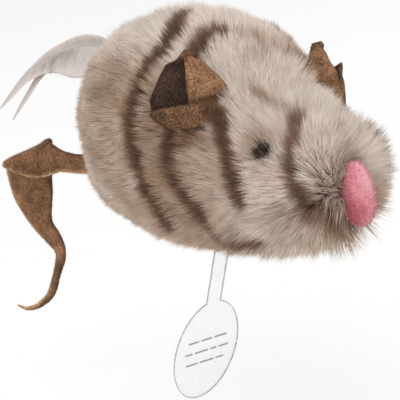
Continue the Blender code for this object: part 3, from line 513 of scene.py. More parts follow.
def add_node(tree, kind, inputs=None, stops=None, **settings):
    """Add a node with its settings, and set or link its inputs."""
    made = tree.nodes.new(kind)
    for name, value in settings.items():
        setattr(made, name, value)
    feed(tree, made, inputs or {})
    for index, (position, shade) in enumerate(stops or ()):
        elements = made.color_ramp.elements
        element = elements[index] if index < 2 else elements.new(position)
        element.position, element.color = position, shade
    return made


def noise(tree, place, scale, detail=2.0, roughness=0.5, distortion=0.0):
    return add_node(tree, "ShaderNodeTexNoise", {"Vector": place, "Scale": scale, "Detail": detail,
                                                 "Roughness": roughness, "Distortion": distortion}).outputs["Fac"]


def spread(tree, value, low, high, start=0.0, end=1.0):
    """Spread a value that runs from start to end over low to high."""
    return add_node(tree, "ShaderNodeMapRange", {"Value": value, "From Min": start, "From Max": end, "To Min": low,
                                                 "To Max": high}).outputs["Result"]


def ramp(tree, value, *stops):
    stops = [(position, colour(shade)) for position, shade in stops]
    return add_node(tree, "ShaderNodeValToRGB", {"Fac": value}, stops=stops).outputs["Color"]


def math_node(tree, operation, first, second):
    return add_node(tree, "ShaderNodeMath", {0: first, 1: second}, operation=operation).outputs[0]


def dyed(tree, tone):
    """The dye stored on the mesh, made lighter or darker by a tone."""
    dye = add_node(tree, "ShaderNodeAttribute", attribute_name="dye").outputs["Color"]
    return add_node(tree, "ShaderNodeVectorMath", {0: dye, "Scale": tone}, operation="SCALE").outputs["Vector"]


def bump(tree, height, strength, distance):
    return add_node(tree, "ShaderNodeBump", {"Height": height, "Strength": strength,
                                             "Distance": distance}).outputs["Normal"]


def start_material(name):
    """A new material with its node tree, Principled shader and Object coordinates."""
    made = bpy.data.materials.new(name)
    made.use_nodes = True
    tree = made.node_tree
    shader = tree.nodes["Principled BSDF"]
    place = add_node(tree, "ShaderNodeTexCoord").outputs["Object"]
    return made, tree, shader, place


def fibre_material(name, roughness, sheen, sheen_tint="#ffffff"):
    """Fibres coloured strand by strand, with the streaks that combing leaves along them."""
    made, tree, shader, place = start_material(name)
    streaks = noise(tree, place, 900.0)
    feed(tree, shader, {
        "Base Color": dyed(tree, spread(tree, streaks, 0.93, 1.07)),
        "Roughness": spread(tree, streaks, roughness - 0.06, roughness + 0.06),
        "Sheen Weight": sheen, "Sheen Roughness": 0.5, "Sheen Tint": colour(sheen_tint), "Specular IOR Level": 0.25})
    return made


def striped_pile():
    # Polyester plush, knitted, dyed in stripes and sheared: matt, with soft streaks along the pile
    return fibre_material("striped_plush_pile", 0.82, 0.10, "#f4ebe2")


def pile_backing():
    # Knitted polyester ground of the plush, seen only between the tufts: matt loops in rows
    made, tree, shader, place = start_material("knitted_pile_backing")
    rows = add_node(tree, "ShaderNodeTexWave", {"Vector": place, "Scale": 160.0, "Distortion": 2.0,
                                                "Detail": 1.0}).outputs["Fac"]
    feed(tree, shader, {"Base Color": ramp(tree, rows, (0.2, "#6d5848"), (0.9, "#8f7966")),
                        "Normal": bump(tree, rows, 0.5, 0.2 * MM), "Roughness": 0.95})
    return made


def fibre_filling():
    # Blown polyester fibre: white, matt, a tangle of curls about 2 mm across
    made, tree, shader, place = start_material("polyester_fibre_filling")
    curls = noise(tree, place, 420.0, 4.0, distortion=3.0)
    feed(tree, shader, {"Base Color": ramp(tree, curls, (0.3, "#d8d6d0"), (0.7, "#f6f5f1")),
                        "Normal": bump(tree, curls, 0.9, 0.6 * MM), "Roughness": 0.9, "Sheen Weight": 0.4})
    return made


def brushed_suede():
    # Imitation suede, a felted microfibre that is brushed and die cut: matt, mottled, paler at a cut edge
    made, tree, shader, place = start_material("brushed_imitation_suede")
    blotch = noise(tree, place, 260.0, 3.0, 0.6)
    nap = noise(tree, place, 1500.0, 2.0, 0.6, 0.2)
    tone = spread(tree, math_node(tree, "ADD", blotch, nap), 0.40, 1.60, 0.72, 1.28)
    feed(tree, shader, {
        "Base Color": dyed(tree, tone), "Roughness": spread(tree, nap, 0.82, 1.0),
        "Normal": bump(tree, nap, 0.4, 0.3 * MM), "Sheen Weight": 0.15, "Sheen Roughness": 0.4,
        "Sheen Tint": colour("#d9b498"), "Specular IOR Level": 0.2})
    return made


def pressed_felt():
    # Needled wool felt over a pad: matt pink, cloudy, with a fine fibrous nap
    made, tree, shader, place = start_material("pink_wool_felt")
    cloud = noise(tree, place, 240.0, 3.0)
    nap = noise(tree, place, 1500.0, 4.0, 0.7, 2.0)
    tone = spread(tree, math_node(tree, "ADD", cloud, nap), 0.80, 1.18, 0.65, 1.35)
    feed(tree, shader, {
        "Base Color": dyed(tree, tone), "Roughness": spread(tree, nap, 0.8, 1.0),
        "Normal": bump(tree, nap, 0.6, 0.3 * MM), "Sheen Weight": 0.3, "Sheen Tint": colour("#ffc9d0")})
    return made


def white_feather():
    # Bleached goose feather: thin keratin barbs side by side that let some light through
    made, tree, shader, place = start_material("bleached_feather")
    grain = noise(tree, place, 700.0)
    feed(tree, shader, {"Base Color": dyed(tree, spread(tree, grain, 0.94, 1.04)),
                        "Roughness": spread(tree, grain, 0.5, 0.7), "Sheen Weight": 0.3})
    return made


def clear_film():
    # Polyester film, die cut: clear, with a faint drawn haze and a soft gloss
    made, tree, shader, place = start_material("clear_polyester_film")
    haze = noise(tree, place, 220.0, distortion=0.8)
    feed(tree, shader, {"Base Color": ramp(tree, haze, (0.3, "#f4f6f8"), (0.7, "#fdfdfe")),
                        "Roughness": spread(tree, haze, 0.12, 0.22), "Alpha": 0.30, "IOR": 1.58})
    return made


def film_edge():
    # The cut edge of the film catches light along its length: pale grey, slightly frosted
    made, tree, shader, place = start_material("frosted_film_edge")
    nicks = noise(tree, place, 900.0)
    feed(tree, shader, {"Base Color": ramp(tree, nicks, (0.35, "#8d9094"), (0.65, "#c9ccd0")), "Roughness": 0.45})
    return made


def film_print():
    # Grey screen print on the film: matt ink, a little uneven
    made, tree, shader, place = start_material("grey_screen_print")
    speckle = noise(tree, place, 1600.0)
    feed(tree, shader, {"Base Color": ramp(tree, speckle, (0.3, "#8a8c90"), (0.7, "#a9abaf")), "Roughness": 0.7})
    return made


def plain_finish(name, low, high, scale, roughness, bump_strength, metallic=0.0, ior=1.5):
    """A moulded, plated or coated finish: slight clouds of colour, gloss and texture."""
    made, tree, shader, place = start_material(name)
    grain = noise(tree, place, scale, 3.0)
    feed(tree, shader, {
        "Base Color": ramp(tree, grain, (0.3, low), (0.7, high)),
        "Roughness": spread(tree, grain, roughness - 0.06, roughness + 0.06),
        "Normal": bump(tree, grain, bump_strength, 0.1 * MM), "Metallic": metallic, "IOR": ior})
    return made


# Strands

def strand_tree(segments, scatter):
    """Geometry Nodes that set a tapered strand on every root, and note where each one stands."""
    name = "strands_{}_{}".format(segments, "scattered" if scatter else "placed")
    if name in bpy.data.node_groups:
        return bpy.data.node_groups[name]
    tree = bpy.data.node_groups.new(name, "GeometryNodeTree")
    for word, kind in (("Geometry", "Geometry"), ("Density", "Float"), ("Seed", "Int"), ("Strand Radius", "Float"),
                       ("Strand Length", "Float"), ("Material", "Material")):
        tree.interface.new_socket(word, in_out="INPUT", socket_type="NodeSocket" + kind)
    tree.interface.new_socket("Geometry", in_out="OUTPUT", socket_type="NodeSocketGeometry")
    given = add_node(tree, "NodeGroupInput").outputs
    if scatter:
        roots = add_node(tree, "GeometryNodeDistributePointsOnFaces",
                         {"Mesh": given["Geometry"], "Density": given["Density"], "Seed": given["Seed"]},
                         distribute_method="RANDOM").outputs["Points"]
    else:
        roots = add_node(tree, "GeometryNodeMeshToPoints", {"Mesh": given["Geometry"]}).outputs["Points"]
    place = add_node(tree, "GeometryNodeInputPosition").outputs["Position"]
    noted = add_node(tree, "GeometryNodeStoreNamedAttribute",
                     {"Geometry": roots, "Name": "root", "Value": place},
                     data_type="FLOAT_VECTOR", domain="POINT").outputs["Geometry"]
    strand = add_node(tree, "GeometryNodeMeshCone",
                      {"Vertices": STRAND_SIDES, "Side Segments": segments, "Radius Top": 0.0,
                       "Radius Bottom": given["Strand Radius"], "Depth": given["Strand Length"]},
                      fill_type="NGON").outputs["Mesh"]
    placed = add_node(tree, "GeometryNodeInstanceOnPoints", {"Points": noted, "Instance": strand}).outputs["Instances"]
    real = add_node(tree, "GeometryNodeRealizeInstances", {"Geometry": placed}).outputs["Geometry"]
    finished = add_node(tree, "GeometryNodeSetMaterial", {"Geometry": real, "Material": given["Material"]})
    add_node(tree, "NodeGroupOutput", {"Geometry": finished.outputs["Geometry"]})
    return tree


def planted(carrier, finish, radius, length, seed, density=None, segments=2):
    """Strands standing on a carrier, as a plain mesh, with each strand's root and its own shape."""
    tree = strand_tree(segments, density is not None)
    modifier = carrier.modifiers.new("strands", "NODES")
    modifier.node_group = tree
    values = {"Density": density or 0.0, "Seed": seed, "Strand Radius": radius, "Strand Length": length,
              "Material": finish}
    for socket in tree.interface.items_tree:
        if socket.in_out == "INPUT" and socket.name in values:
            modifier[socket.identifier] = values[socket.name]
    as_plain_mesh(carrier)
    mesh = carrier.data
    per_strand = STRAND_SIDES * segments + 1
    count = len(mesh.vertices) // per_strand
    if count * per_strand != len(mesh.vertices) or not count:
        raise RuntimeError(carrier.name + ": the strands came out uneven")
    roots = read(mesh, "root", 3).reshape(count, per_strand, 3)
    local = coordinates(mesh).reshape(count, per_strand, 3) - roots
    return mesh, roots[:, 0], local[0]


def keep_strands(mesh, keep, per_strand):
    """Drop the strands that are not wanted, keeping the order of the rest."""
    work = bmesh.new()
    work.from_mesh(mesh)
    work.verts.ensure_lookup_table()
    gone = [work.verts[index] for index in np.flatnonzero(np.repeat(~keep, per_strand))]
    bmesh.ops.delete(work, geom=gone, context="VERTS")
    work.to_mesh(mesh)
    work.free()


def bend_strands(mesh, local, length, paths, girth, facing, softness):
    """Lay each strand along its own path of points, and shade it partly as the surface below it."""
    steps = paths.shape[1] - 1
    share = np.clip(local[:, 2] / length, 0, 1) * steps
    index = np.minimum(share.astype(int), steps - 1)
    part = (share - index)[None, :, None]
    middle = paths[:, index] * (1 - part) + paths[:, index + 1] * part
    heading = unit(paths[:, -1] - paths[:, 0])
    side = unit(np.cross(heading, facing))
    other = np.cross(heading, side)
    ring = (side[:, None] * local[None, :, 0:1] + other[:, None] * local[None, :, 1:2]) * girth[:, None, None]
    points = middle + ring
    mesh.vertices.foreach_set("co", points.astype(np.float32).ravel())
    mesh.polygons.foreach_set("use_smooth", [True] * len(mesh.polygons))
    round_normal = unit(ring + heading[:, None] * 1e-6)
    shaded = unit(round_normal * (1 - softness) + facing[:, None] * softness)
    mesh.update()
    mesh.normals_split_custom_set_from_vertices(shaded.reshape(-1, 3))


def strand_map(mesh, count, local, length):
    """A UV map with one cell for each strand: around it one way and along it the other."""
    per_strand = len(local)
    loops = len(mesh.loops) // count
    vertex = np.empty(len(mesh.loops), np.int32)
    mesh.loops.foreach_get("vertex_index", vertex)
    own = vertex[:loops] % per_strand
    turn = (np.degrees(np.arctan2(local[:, 1], local[:, 0])) % 360) / 360
    along = np.clip(local[:, 2] / length, 0, 1)
    across, up = np.zeros(loops), np.zeros(loops)
    for polygon in mesh.polygons[:len(mesh.polygons) // count]:
        span = range(polygon.loop_start, polygon.loop_start + polygon.loop_total)
        turns = [turn[own[i]] for i in span]
        base = all(along[own[i]] < 0.01 for i in span)
        ring = [t for t, i in zip(turns, span) if along[own[i]] < 0.99]
        wraps = max(ring) - min(ring) > 0.5 and not base
        for i, t in zip(span, turns):
            is_tip = along[own[i]] > 0.99
            shifted = [r + 1 if wraps and r < 0.5 else r for r in ring]
            across[i] = sum(shifted) / len(shifted) if is_tip else (t + 1 if wraps and t < 0.5 else t)
            up[i] = along[own[i]] if not base else 0.02 * t
    cells = math.ceil(math.sqrt(count))
    cell = np.arange(count)
    column, row = cell % cells, cell // cells
    u = (column[:, None] + 0.05 + 0.9 * across[None] / 1.4) / cells
    v = (row[:, None] + 0.05 + 0.9 * up[None]) / cells
    layer = mesh.uv_layers.new(name="OFBake")
    layer.data.foreach_set("uv", np.stack([u, v], axis=-1).astype(np.float32).ravel())


def finish_strands(mesh, shades, count, local, length, spare=("root",)):
    """Store the strands' colours and their map, and drop what was only needed for planting."""
    for name in spare:
        if name in mesh.attributes:
            mesh.attributes.remove(mesh.attributes[name])
    store_dye(mesh, np.clip(shades, 0, 1))
    strand_map(mesh, count, local, length)


def clump(paths, roots, every, pull, seed):
    """Draw the strands' tips together into tufts."""
    random = np.random.default_rng(seed)
    guides = random.choice(len(roots), max(1, len(roots) // every), replace=False)
    tree = KDTree(len(guides))
    for place, guide in enumerate(guides):
        tree.insert(roots[guide], place)
    tree.balance()
    nearest = guides[np.array([tree.find(root)[1] for root in roots])]
    steps = paths.shape[1] - 1
    strength = pull * random.uniform(0.45, 1.0, len(roots))
    for step in range(1, steps + 1):
        share = strength[:, None] * (step / steps) ** 1.5
        paths[:, step] = paths[:, step] * (1 - share) + paths[nearest, step] * share
    return nearest


def turn_along(paths, blocks):
    """Turn the strands that would run into another piece so that they lie along it."""
    for path in paths:
        for step in range(1, len(path)):
            start, reach = Vector(path[step - 1]), Vector(path[step] - path[step - 1])
            hit, normal, _, _ = blocks.ray_cast(start, reach, reach.length * 1.15)
            if hit is None:
                continue
            normal = -normal if normal.dot(reach) > 0 else normal
            along = reach - normal * reach.dot(normal)
            turned = (along.normalized() + normal * 0.15) * reach.length * 0.75
            if blocks.ray_cast(start, turned, turned.length * 1.05)[0] is not None:
                turned = (hit - start) * 0.6
            moved = np.array(start + turned) - path[step]
            path[step:] += moved


# Settings

def text_setting(name, description, default):
    return bpy.props.StringProperty(name=name, description=description, default=default)


def length_setting(name, description, default):
    return bpy.props.FloatProperty(name=name, description=description, default=default, subtype="DISTANCE",
                                   unit="LENGTH", precision=5)


class PileSettings(bpy.types.PropertyGroup):
    strands: bpy.props.IntProperty(name="Strands per panel part", description="Tufts of pile in each part",
                                   default=17600, min=500, max=19900)
    radius: length_setting("Tuft radius", "Radius of a tuft at its root", 0.125 * MM)
    clumping: bpy.props.FloatProperty(name="Clumping", description="How far tips draw together",
                                      default=0.55, subtype="FACTOR")
    light: text_setting("Light pile", "Ground colour of the pile", "#efe0d3")
    # The tan stands partly for the pile's own colour and partly for painted shade on the flanks
    tan: text_setting("Tan pile", "Ground colour low on the flanks", "#ab8d74")
    under: text_setting("Under pile", "Colour near the backing", "#87663f")
    dark: text_setting("Stripe", "Colour of the stripes", "#5c4030")


class SuedeSettings(bpy.types.PropertyGroup):
    thickness: length_setting("Thickness", "Thickness of the suede", 1.0 * MM)
    face: text_setting("Face", "Colour of the brushed face", "#886449")
    # The ears' inside colour is partly the suede's own back and partly painted shade inside the cup
    back: text_setting("Back", "Colour inside the ears", "#4d3b31")
    edge: text_setting("Cut edge", "Colour of a cut edge", "#be966e")


class TrimSettings(bpy.types.PropertyGroup):
    nose_nap: length_setting("Nose nap", "Length of the nose's fibres", NOSE_NAP[1])
    eye_thread: text_setting("Eye thread", "Colour of the eyes", "#2e1c12")
    feather: text_setting("Feather", "Colour of the feathers", "#c6bbb5")
    quill: text_setting("Quill", "Colour of the quills", "#bdb3ad")


class StageSettings(bpy.types.PropertyGroup):
    floor: text_setting("Floor", "Colour of the floor", "#f4f4f3")
    floor_drop: length_setting("Floor drop", "How far the floor is below the belly", 54.0 * MM)
    sky: bpy.props.FloatProperty(name="Surround", description="Strength of the light all round", default=0.72)
    key: bpy.props.FloatProperty(name="Main lamp", description="Power of the main lamp", default=3.2, unit="POWER")


class MouseToySettings(bpy.types.PropertyGroup):
    pile: bpy.props.PointerProperty(type=PileSettings)
    suede: bpy.props.PointerProperty(type=SuedeSettings)
    trim: bpy.props.PointerProperty(type=TrimSettings)
    stage: bpy.props.PointerProperty(type=StageSettings)


# Stage

def photo_axes():
    """The photograph's view: towards the camera, right and up, before the roll."""
    towards = Vector((math.sin(VIEW_BEARING) * math.cos(VIEW_RISE), -math.cos(VIEW_BEARING) * math.cos(VIEW_RISE),
                      math.sin(VIEW_RISE)))
    right = Vector((math.cos(VIEW_BEARING), math.sin(VIEW_BEARING), 0.0))
    return towards, right, towards.cross(right)


def add_lamp(name, place, target, size, power):
    lamp = bpy.data.lights.new(name, "AREA")
    lamp.shape, lamp.size, lamp.energy = "DISK", size, power
    made = bpy.data.objects.new(name, lamp)
    made.location = place
    made.rotation_euler = (Vector(target) - Vector(place)).to_track_quat("-Z", "Y").to_euler()
    bpy.context.scene.collection.objects.link(made)


def seen_by_camera(tree):
    """1 for rays that come from the camera, straight, off a glossy face or through film."""
    rays = add_node(tree, "ShaderNodeLightPath").outputs
    seen = math_node(tree, "MAXIMUM", rays["Is Camera Ray"], rays["Is Glossy Ray"])
    return math_node(tree, "MAXIMUM", seen, rays["Is Transmission Ray"])


class MOUSE_OT_stage(bpy.types.Operator):
    """Set the camera, the floor and the soft light"""
    bl_idname = "mouse.stage"
    bl_label = "Stage"

    def execute(self, context):
        settings = context.scene.mouse_toy.stage
        scene = context.scene
        scene.view_settings.view_transform = "Standard"
        towards, right, up = photo_axes()
        dx, dy = (PHOTO_PIXELS / 2 - pixel for pixel in ORIGIN_PIXEL)
        across = math.cos(VIEW_ROLL) * dx + math.sin(VIEW_ROLL) * dy
        down = -math.sin(VIEW_ROLL) * dx + math.cos(VIEW_ROLL) * dy
        target = (right * across - up * down) / VIEW_PIXELS_PER_METRE
        place = towards * VIEW_DISTANCE
        back = (place - target).normalized()
        lens_up = right * -math.sin(VIEW_ROLL) + up * math.cos(VIEW_ROLL)
        lens_right = lens_up.cross(back).normalized()
        lens_up = back.cross(lens_right)
        data = bpy.data.cameras.new("photo_camera")
        data.sensor_width = SENSOR
        data.lens = SENSOR * VIEW_DISTANCE * VIEW_PIXELS_PER_METRE / PHOTO_PIXELS
        data.clip_start, data.clip_end = 0.01, 50.0
        camera = bpy.data.objects.new("photo_camera", data)
        turn = Matrix((lens_right, lens_up, back)).transposed()
        camera.matrix_world = Matrix.Translation(place) @ turn.to_4x4()
        scene.collection.objects.link(camera)
        scene.camera = camera
        corners = ((-1, -1), (1, -1), (1, 1), (-1, 1))
        points = [(x * FLOOR_HALF, y * FLOOR_HALF, -settings.floor_drop) for x, y in corners]
        made, tree, shader, ground = start_material("matt_paper_floor")
        floor = add_mesh("floor", points, [(0, 1, 2, 3)], made, smooth=False)
        grain = noise(tree, ground, 60.0)
        feed(tree, shader, {"Base Color": ramp(tree, grain, (0.0, settings.floor), (1.0, "#fbfbfa")),
                            "Roughness": 0.9, "Specular IOR Level": 0.1})
        part = math_node(tree, "MULTIPLY", seen_by_camera(tree), FLOOR_WHITENESS)
        bright = add_node(tree, "ShaderNodeEmission", {"Color": (1.0, 1.0, 1.0, 1.0), "Strength": 1.0})
        both = add_node(tree, "ShaderNodeMixShader", {0: part, 1: shader.outputs[0], 2: bright.outputs[0]})
        feed(tree, tree.nodes["Material Output"], {"Surface": both.outputs[0]})

        scene.world = bpy.data.worlds.new("white_surround")
        scene.world.use_nodes = True
        sky = scene.world.node_tree
        sky.nodes.clear()
        strength = spread(sky, seen_by_camera(sky), settings.sky, 1.0)
        white = add_node(sky, "ShaderNodeBackground", {"Color": (1.0, 1.0, 1.0, 1.0), "Strength": strength})
        add_node(sky, "ShaderNodeOutputWorld", {"Surface": white.outputs["Background"]})
        for name, (place, target, size, power) in LAMPS.items():
            add_lamp(name, place, target, size, settings.key * power)
        return {"FINISHED"}


# Body

PANELS = (("left", -BELLY_SEAM_DEGREES, 90.0), ("right", 90.0, 180.0 + BELLY_SEAM_DEGREES),
          ("belly", 180.0 + BELLY_SEAM_DEGREES, 360.0 - BELLY_SEAM_DEGREES))


def ring_shares(count):
    between = [(1 - math.cos(math.pi * step / count)) / 2 for step in range(1, count)]
    return np.array([POLE_SHARE] + between + [1 - POLE_SHARE])


def panel_grid(start, end, inset_more, columns):
    """A panel's grid, with its long edges drawn in to the seam."""
    share, degrees = np.meshgrid(ring_shares(PANEL_ROWS), np.linspace(start, end, columns), indexing="ij")
    edge = np.minimum(degrees - start, end - degrees) / 6.0
    inset = backing_inset(share) + inset_more + PANEL_TUCK * np.exp(-edge ** 2)
    return body_points(share, degrees, inset)


class MOUSE_OT_body(bpy.types.Operator):
    """Sew the backing panels and fill them"""
    bl_idname = "mouse.body"
    bl_label = "Backing and filling"

    def execute(self, context):
        backing, filling = pile_backing(), fibre_filling()
        for word, start, end in PANELS:
            edges = start + PANEL_GAP_DEGREES, end - PANEL_GAP_DEGREES
            outer, inner = (panel_grid(*edges, depth, PANEL_COLUMNS[word]) for depth in (0.0, BACKING_THICKNESS))
            panel = add_mesh("backing_" + word, *slab(outer, inner), backing)
            if word == "belly":
                # The slit that the tab goes through
                cut_away(panel, *block((TAB_X - TAB_SLIT[0], -TAB_SLIT[1], TAB_SLIT_HEIGHTS[0]),
                                       (TAB_X + TAB_SLIT[0], TAB_SLIT[1], TAB_SLIT_HEIGHTS[1])))
            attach(panel, "mouse")
            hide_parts({"left": "fur_side_left", "right": "fur_side_right", "belly": "fur_belly"}[word])

        shares, turns = ring_shares(STUFFING_GRID[0]), np.linspace(0, 360, STUFFING_GRID[1], endpoint=False)
        share, degrees = np.meshgrid(shares, turns, indexing="ij")
        points = body_points(share, degrees, backing_inset(share) + BACKING_THICKNESS + STUFFING_SHRINK).reshape(-1, 3)
        points = points * (1 - 0.012 * np.abs(soft_noise(points, 9 * MM, 5))[:, None])
        faces = grid_faces(len(shares), len(turns), closed=True, flip=True)
        last = (len(shares) - 1) * len(turns)
        faces += [tuple(range(len(turns))), tuple(range(last + len(turns) - 1, last - 1, -1))]
        stuffing = add_mesh("stuffing_fibre", points, faces)
        low, high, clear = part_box("case_base"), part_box("case_lid"), POCKET_CLEARANCE
        cut_away(stuffing, *block([low[0][0] - clear, low[0][1] - clear, -5 * MM],
                                  [low[1][0] + clear, low[1][1] + clear, high[1][2] + clear]))
        stuffing.data.materials.clear()
        stuffing.data.materials.append(filling)
        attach(stuffing, "mouse")
        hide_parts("stuffing")
        return {"FINISHED"}


# Pile

def stripe_strength(points, turns):
    """How dark the dye is at points of the body, from 0 on plain ground to 1 in a stripe."""
    wander = soft_noise(points, 5 * MM, 11) * STRIPE_WANDER
    strength = np.zeros(len(points))
    everywhere, fading = np.ones(len(points)), 1 - smooth_step(*LEFT_FADE_DEGREES, turns)
    lines = [(*stripe, everywhere) for stripe in STRIPES]
    lines += [(half_width, dark, [(share, 180 - turn) for share, turn in line], fading)
              for half_width, dark, line in STRIPES[:LEFT_STRIPES] + STRIPES[-1:]]
    lines.append((*CHEEK_STRIPE, fading))
    for half_width, dark, line, amount in lines:
        knots = body_points(*np.array(line, float).T)
        distance = np.full(len(points), 1.0)
        for start, end in zip(knots, knots[1:]):
            way = end - start
            part = np.clip((points - start) @ way / (way @ way), 0, 1)
            distance = np.minimum(distance, np.linalg.norm(points - start - part[:, None] * way, axis=1))
        inside = smooth_step(-STRIPE_EDGE / 2, STRIPE_EDGE / 2, half_width * MM + wander - distance)
        strength = np.maximum(strength, inside * amount * dark)
    for share, degrees, radius, amount in PATCHES:
        middle = body_points([share], [degrees])[0]
        distance = np.linalg.norm(points - middle, axis=1) / (radius * MM)
        strength = np.maximum(strength, amount * np.exp(-distance ** 2))
    return strength


def eye_place(side):
    """The share and the angle of an eye."""
    return np.array([EYE_SHARE]), np.array([on_side(side, EYE_DEGREES)])


def pile_paths(share, degrees, roots, seed):
    """Where each tuft runs: out from the backing, then lying back towards the rump."""
    random = np.random.default_rng(seed)
    count = len(share)
    back = smooth_step(0.10, 0.30, share) * np.exp(-((degrees - 92) / 26) ** 2)
    cheek = smooth_step(0.58, 0.72, share)
    cheek *= smooth_step(-30, 20, degrees) * (1 - smooth_step(78, 100, degrees))
    outward, rearward = body_directions(share, degrees)
    beside = np.cross(outward, rearward)
    swirl = np.radians(PILE_SWIRL[0] * soft_noise(roots, 16 * MM, 3) + PILE_SWIRL[1] * soft_noise(roots, 5 * MM, 4)
                       + random.normal(0, PILE_SWIRL[2], count))
    lay = rearward * np.cos(swirl)[:, None] + beside * np.sin(swirl)[:, None]
    sewn = np.zeros(count)
    for _, side, ear_share, ear_degrees, _ in EAR_PLACES:
        middle, loop = ear_line(side, ear_share, ear_degrees, 40)
        gap = np.min(np.hypot(*(roots[:, None, :2] - loop[None]).transpose(2, 0, 1)), axis=1)
        behind = 1 - smooth_step(-1.5 * MM, 3.0 * MM, roots[:, 0] - middle[0]) if side < 0 else 1.0
        sewn = np.maximum(sewn, np.exp(-(gap / EAR_FLUFF_REACH) ** 2) * (roots[:, 2] > middle[2] - 12 * MM) * behind)
    rim = nose_rim(roots, NOSE_RIM[0])
    length = pile_column(share, 2) + BACK_FLUFF[0] * back + CHEEK_FLUFF[0] * cheek + EAR_FLUFF[0] * sewn
    length = (length * (1 - rim) + NOSE_RIM[1] * rim) * MM
    length *= (1 + 0.12 * soft_noise(roots, 7 * MM, 8)) * random.uniform(*PILE_LENGTHS, count)
    length *= np.where(random.random(count) < PILE_STRAYS[0], PILE_STRAYS[1], 1.0)
    tilt = random.normal(0, PILE_TILT, count) - BACK_FLUFF[1] * back - CHEEK_FLUFF[1] * cheek - EAR_FLUFF[1] * sewn
    lean = (np.radians(pile_column(share, 3) * (1 - rim) + NOSE_RIM[2] * rim + tilt),
            np.radians(pile_column(share, 4) * (1 - rim) + NOSE_RIM[3] * rim + tilt * 1.4))
    paths = np.empty((count, PILE_STEPS + 1, 3))
    paths[:, 0] = roots - outward * 0.2 * MM
    for step in range(PILE_STEPS):
        part = (step + 0.5) / PILE_STEPS
        angle = (lean[0] * (1 - part) + lean[1] * part)[:, None]
        heading = outward * np.cos(angle) + lay * np.sin(angle)
        heading[:, 2] -= PILE_SAG * part
        paths[:, step + 1] = paths[:, step] + unit(heading) * (length / PILE_STEPS)[:, None]
    for side in (1, -1):
        # The pile parts round an eye
        place = eye_place(side)
        eye, axis = body_points(*place, backing_inset(EYE_SHARE))[0], body_directions(*place)[0][0]
        offset = paths[:, 1:] - eye
        away = offset - (offset @ axis)[:, :, None] * axis
        distance = np.linalg.norm(away, axis=2, keepdims=True)
        near = np.linalg.norm(offset, axis=2, keepdims=True) < EYE_REACH
        paths[:, 1:] += away / np.maximum(distance, 1e-9) * np.clip(EYE_PARTING - distance, 0, None) * near
    return paths, outward


def nose_rim(points, reach):
    """1 against the nose's outline, falling off round it, and 0 everywhere else on the body."""
    around = np.hypot((points[:, 1] - NOSE_MIDDLE.y) / NOSE_HALVES[0],
                      (points[:, 2] - NOSE_MIDDLE.z) / NOSE_HALVES[1])
    gap = np.maximum(around - NOSE_RIM_START, 0) * (NOSE_HALVES[0] + NOSE_HALVES[1]) / 2
    return np.exp(-(gap / reach) ** 2) * (points[:, 0] > NOSE_RIM_FROM)


def flank_tan_and_shade(points, share, degrees):
    """How far the plain pile is tan, partly its own colour and partly painted shade: more on the flanks than on the
    back and the cheeks, and mottled.
    """
    turn = np.abs(degrees - 90)
    flank = smooth_step(24, 56, turn)
    amount = flank * np.interp(share, FLANK_TAN_AND_SHADE[0], FLANK_TAN_AND_SHADE[1])
    # Painted shade low on the sides of the shoulders and head
    amount += 0.20 * smooth_step(85, 105, turn) * smooth_step(0.66, 0.78, share)
    mottle = 0.16 * soft_noise(points, 7 * MM, 12) + 0.10 * soft_noise(points, 3 * MM, 13)
    return np.clip(amount + mottle * (0.5 + 0.5 * flank), 0, 1)


def pile_shades(light, dark, under, strength, tuft, seen_at, along, random):
    """Frosted fibres: brown near the backing, pale towards the tip, darker throughout in a stripe."""
    count = len(tuft)
    tuft_tone = random.normal(0, PILE_TONES[0], count)[tuft]
    tone = 1 + random.normal(0, PILE_TONES[1], count) + tuft_tone + PILE_TONES[2] * soft_noise(seen_at, 11 * MM, 9)
    turning = random.uniform(*PILE_TURNING[:2], count) + PILE_TURNING[2] * soft_noise(seen_at, 4 * MM, 10)
    tip = smooth_step(turning[:, None] - 0.25, turning[:, None] + 0.30, along[None])[:, :, None]
    strength = strength[:, None, None]
    plain = under * (1 - tip) + light[:, None] * tip
    striped = dark * (0.72 + 0.34 * along[None, :, None])
    return np.clip(plain ** (1 - strength) * striped ** strength * tone[:, None, None], 0, 1)


def pile_parts():
    """Each part of the pile: its name, its first and last angle, and its first and last share."""
    parts = []
    for word, start, end in PANELS:
        for ending, low, high in PILE_CUTS if word != "belly" else (("", 0.0, 1.0),):
            parts.append(("pile_" + word + ending, start, end, max(low, POLE_SHARE), min(high, 1 - POLE_SHARE)))
    return parts


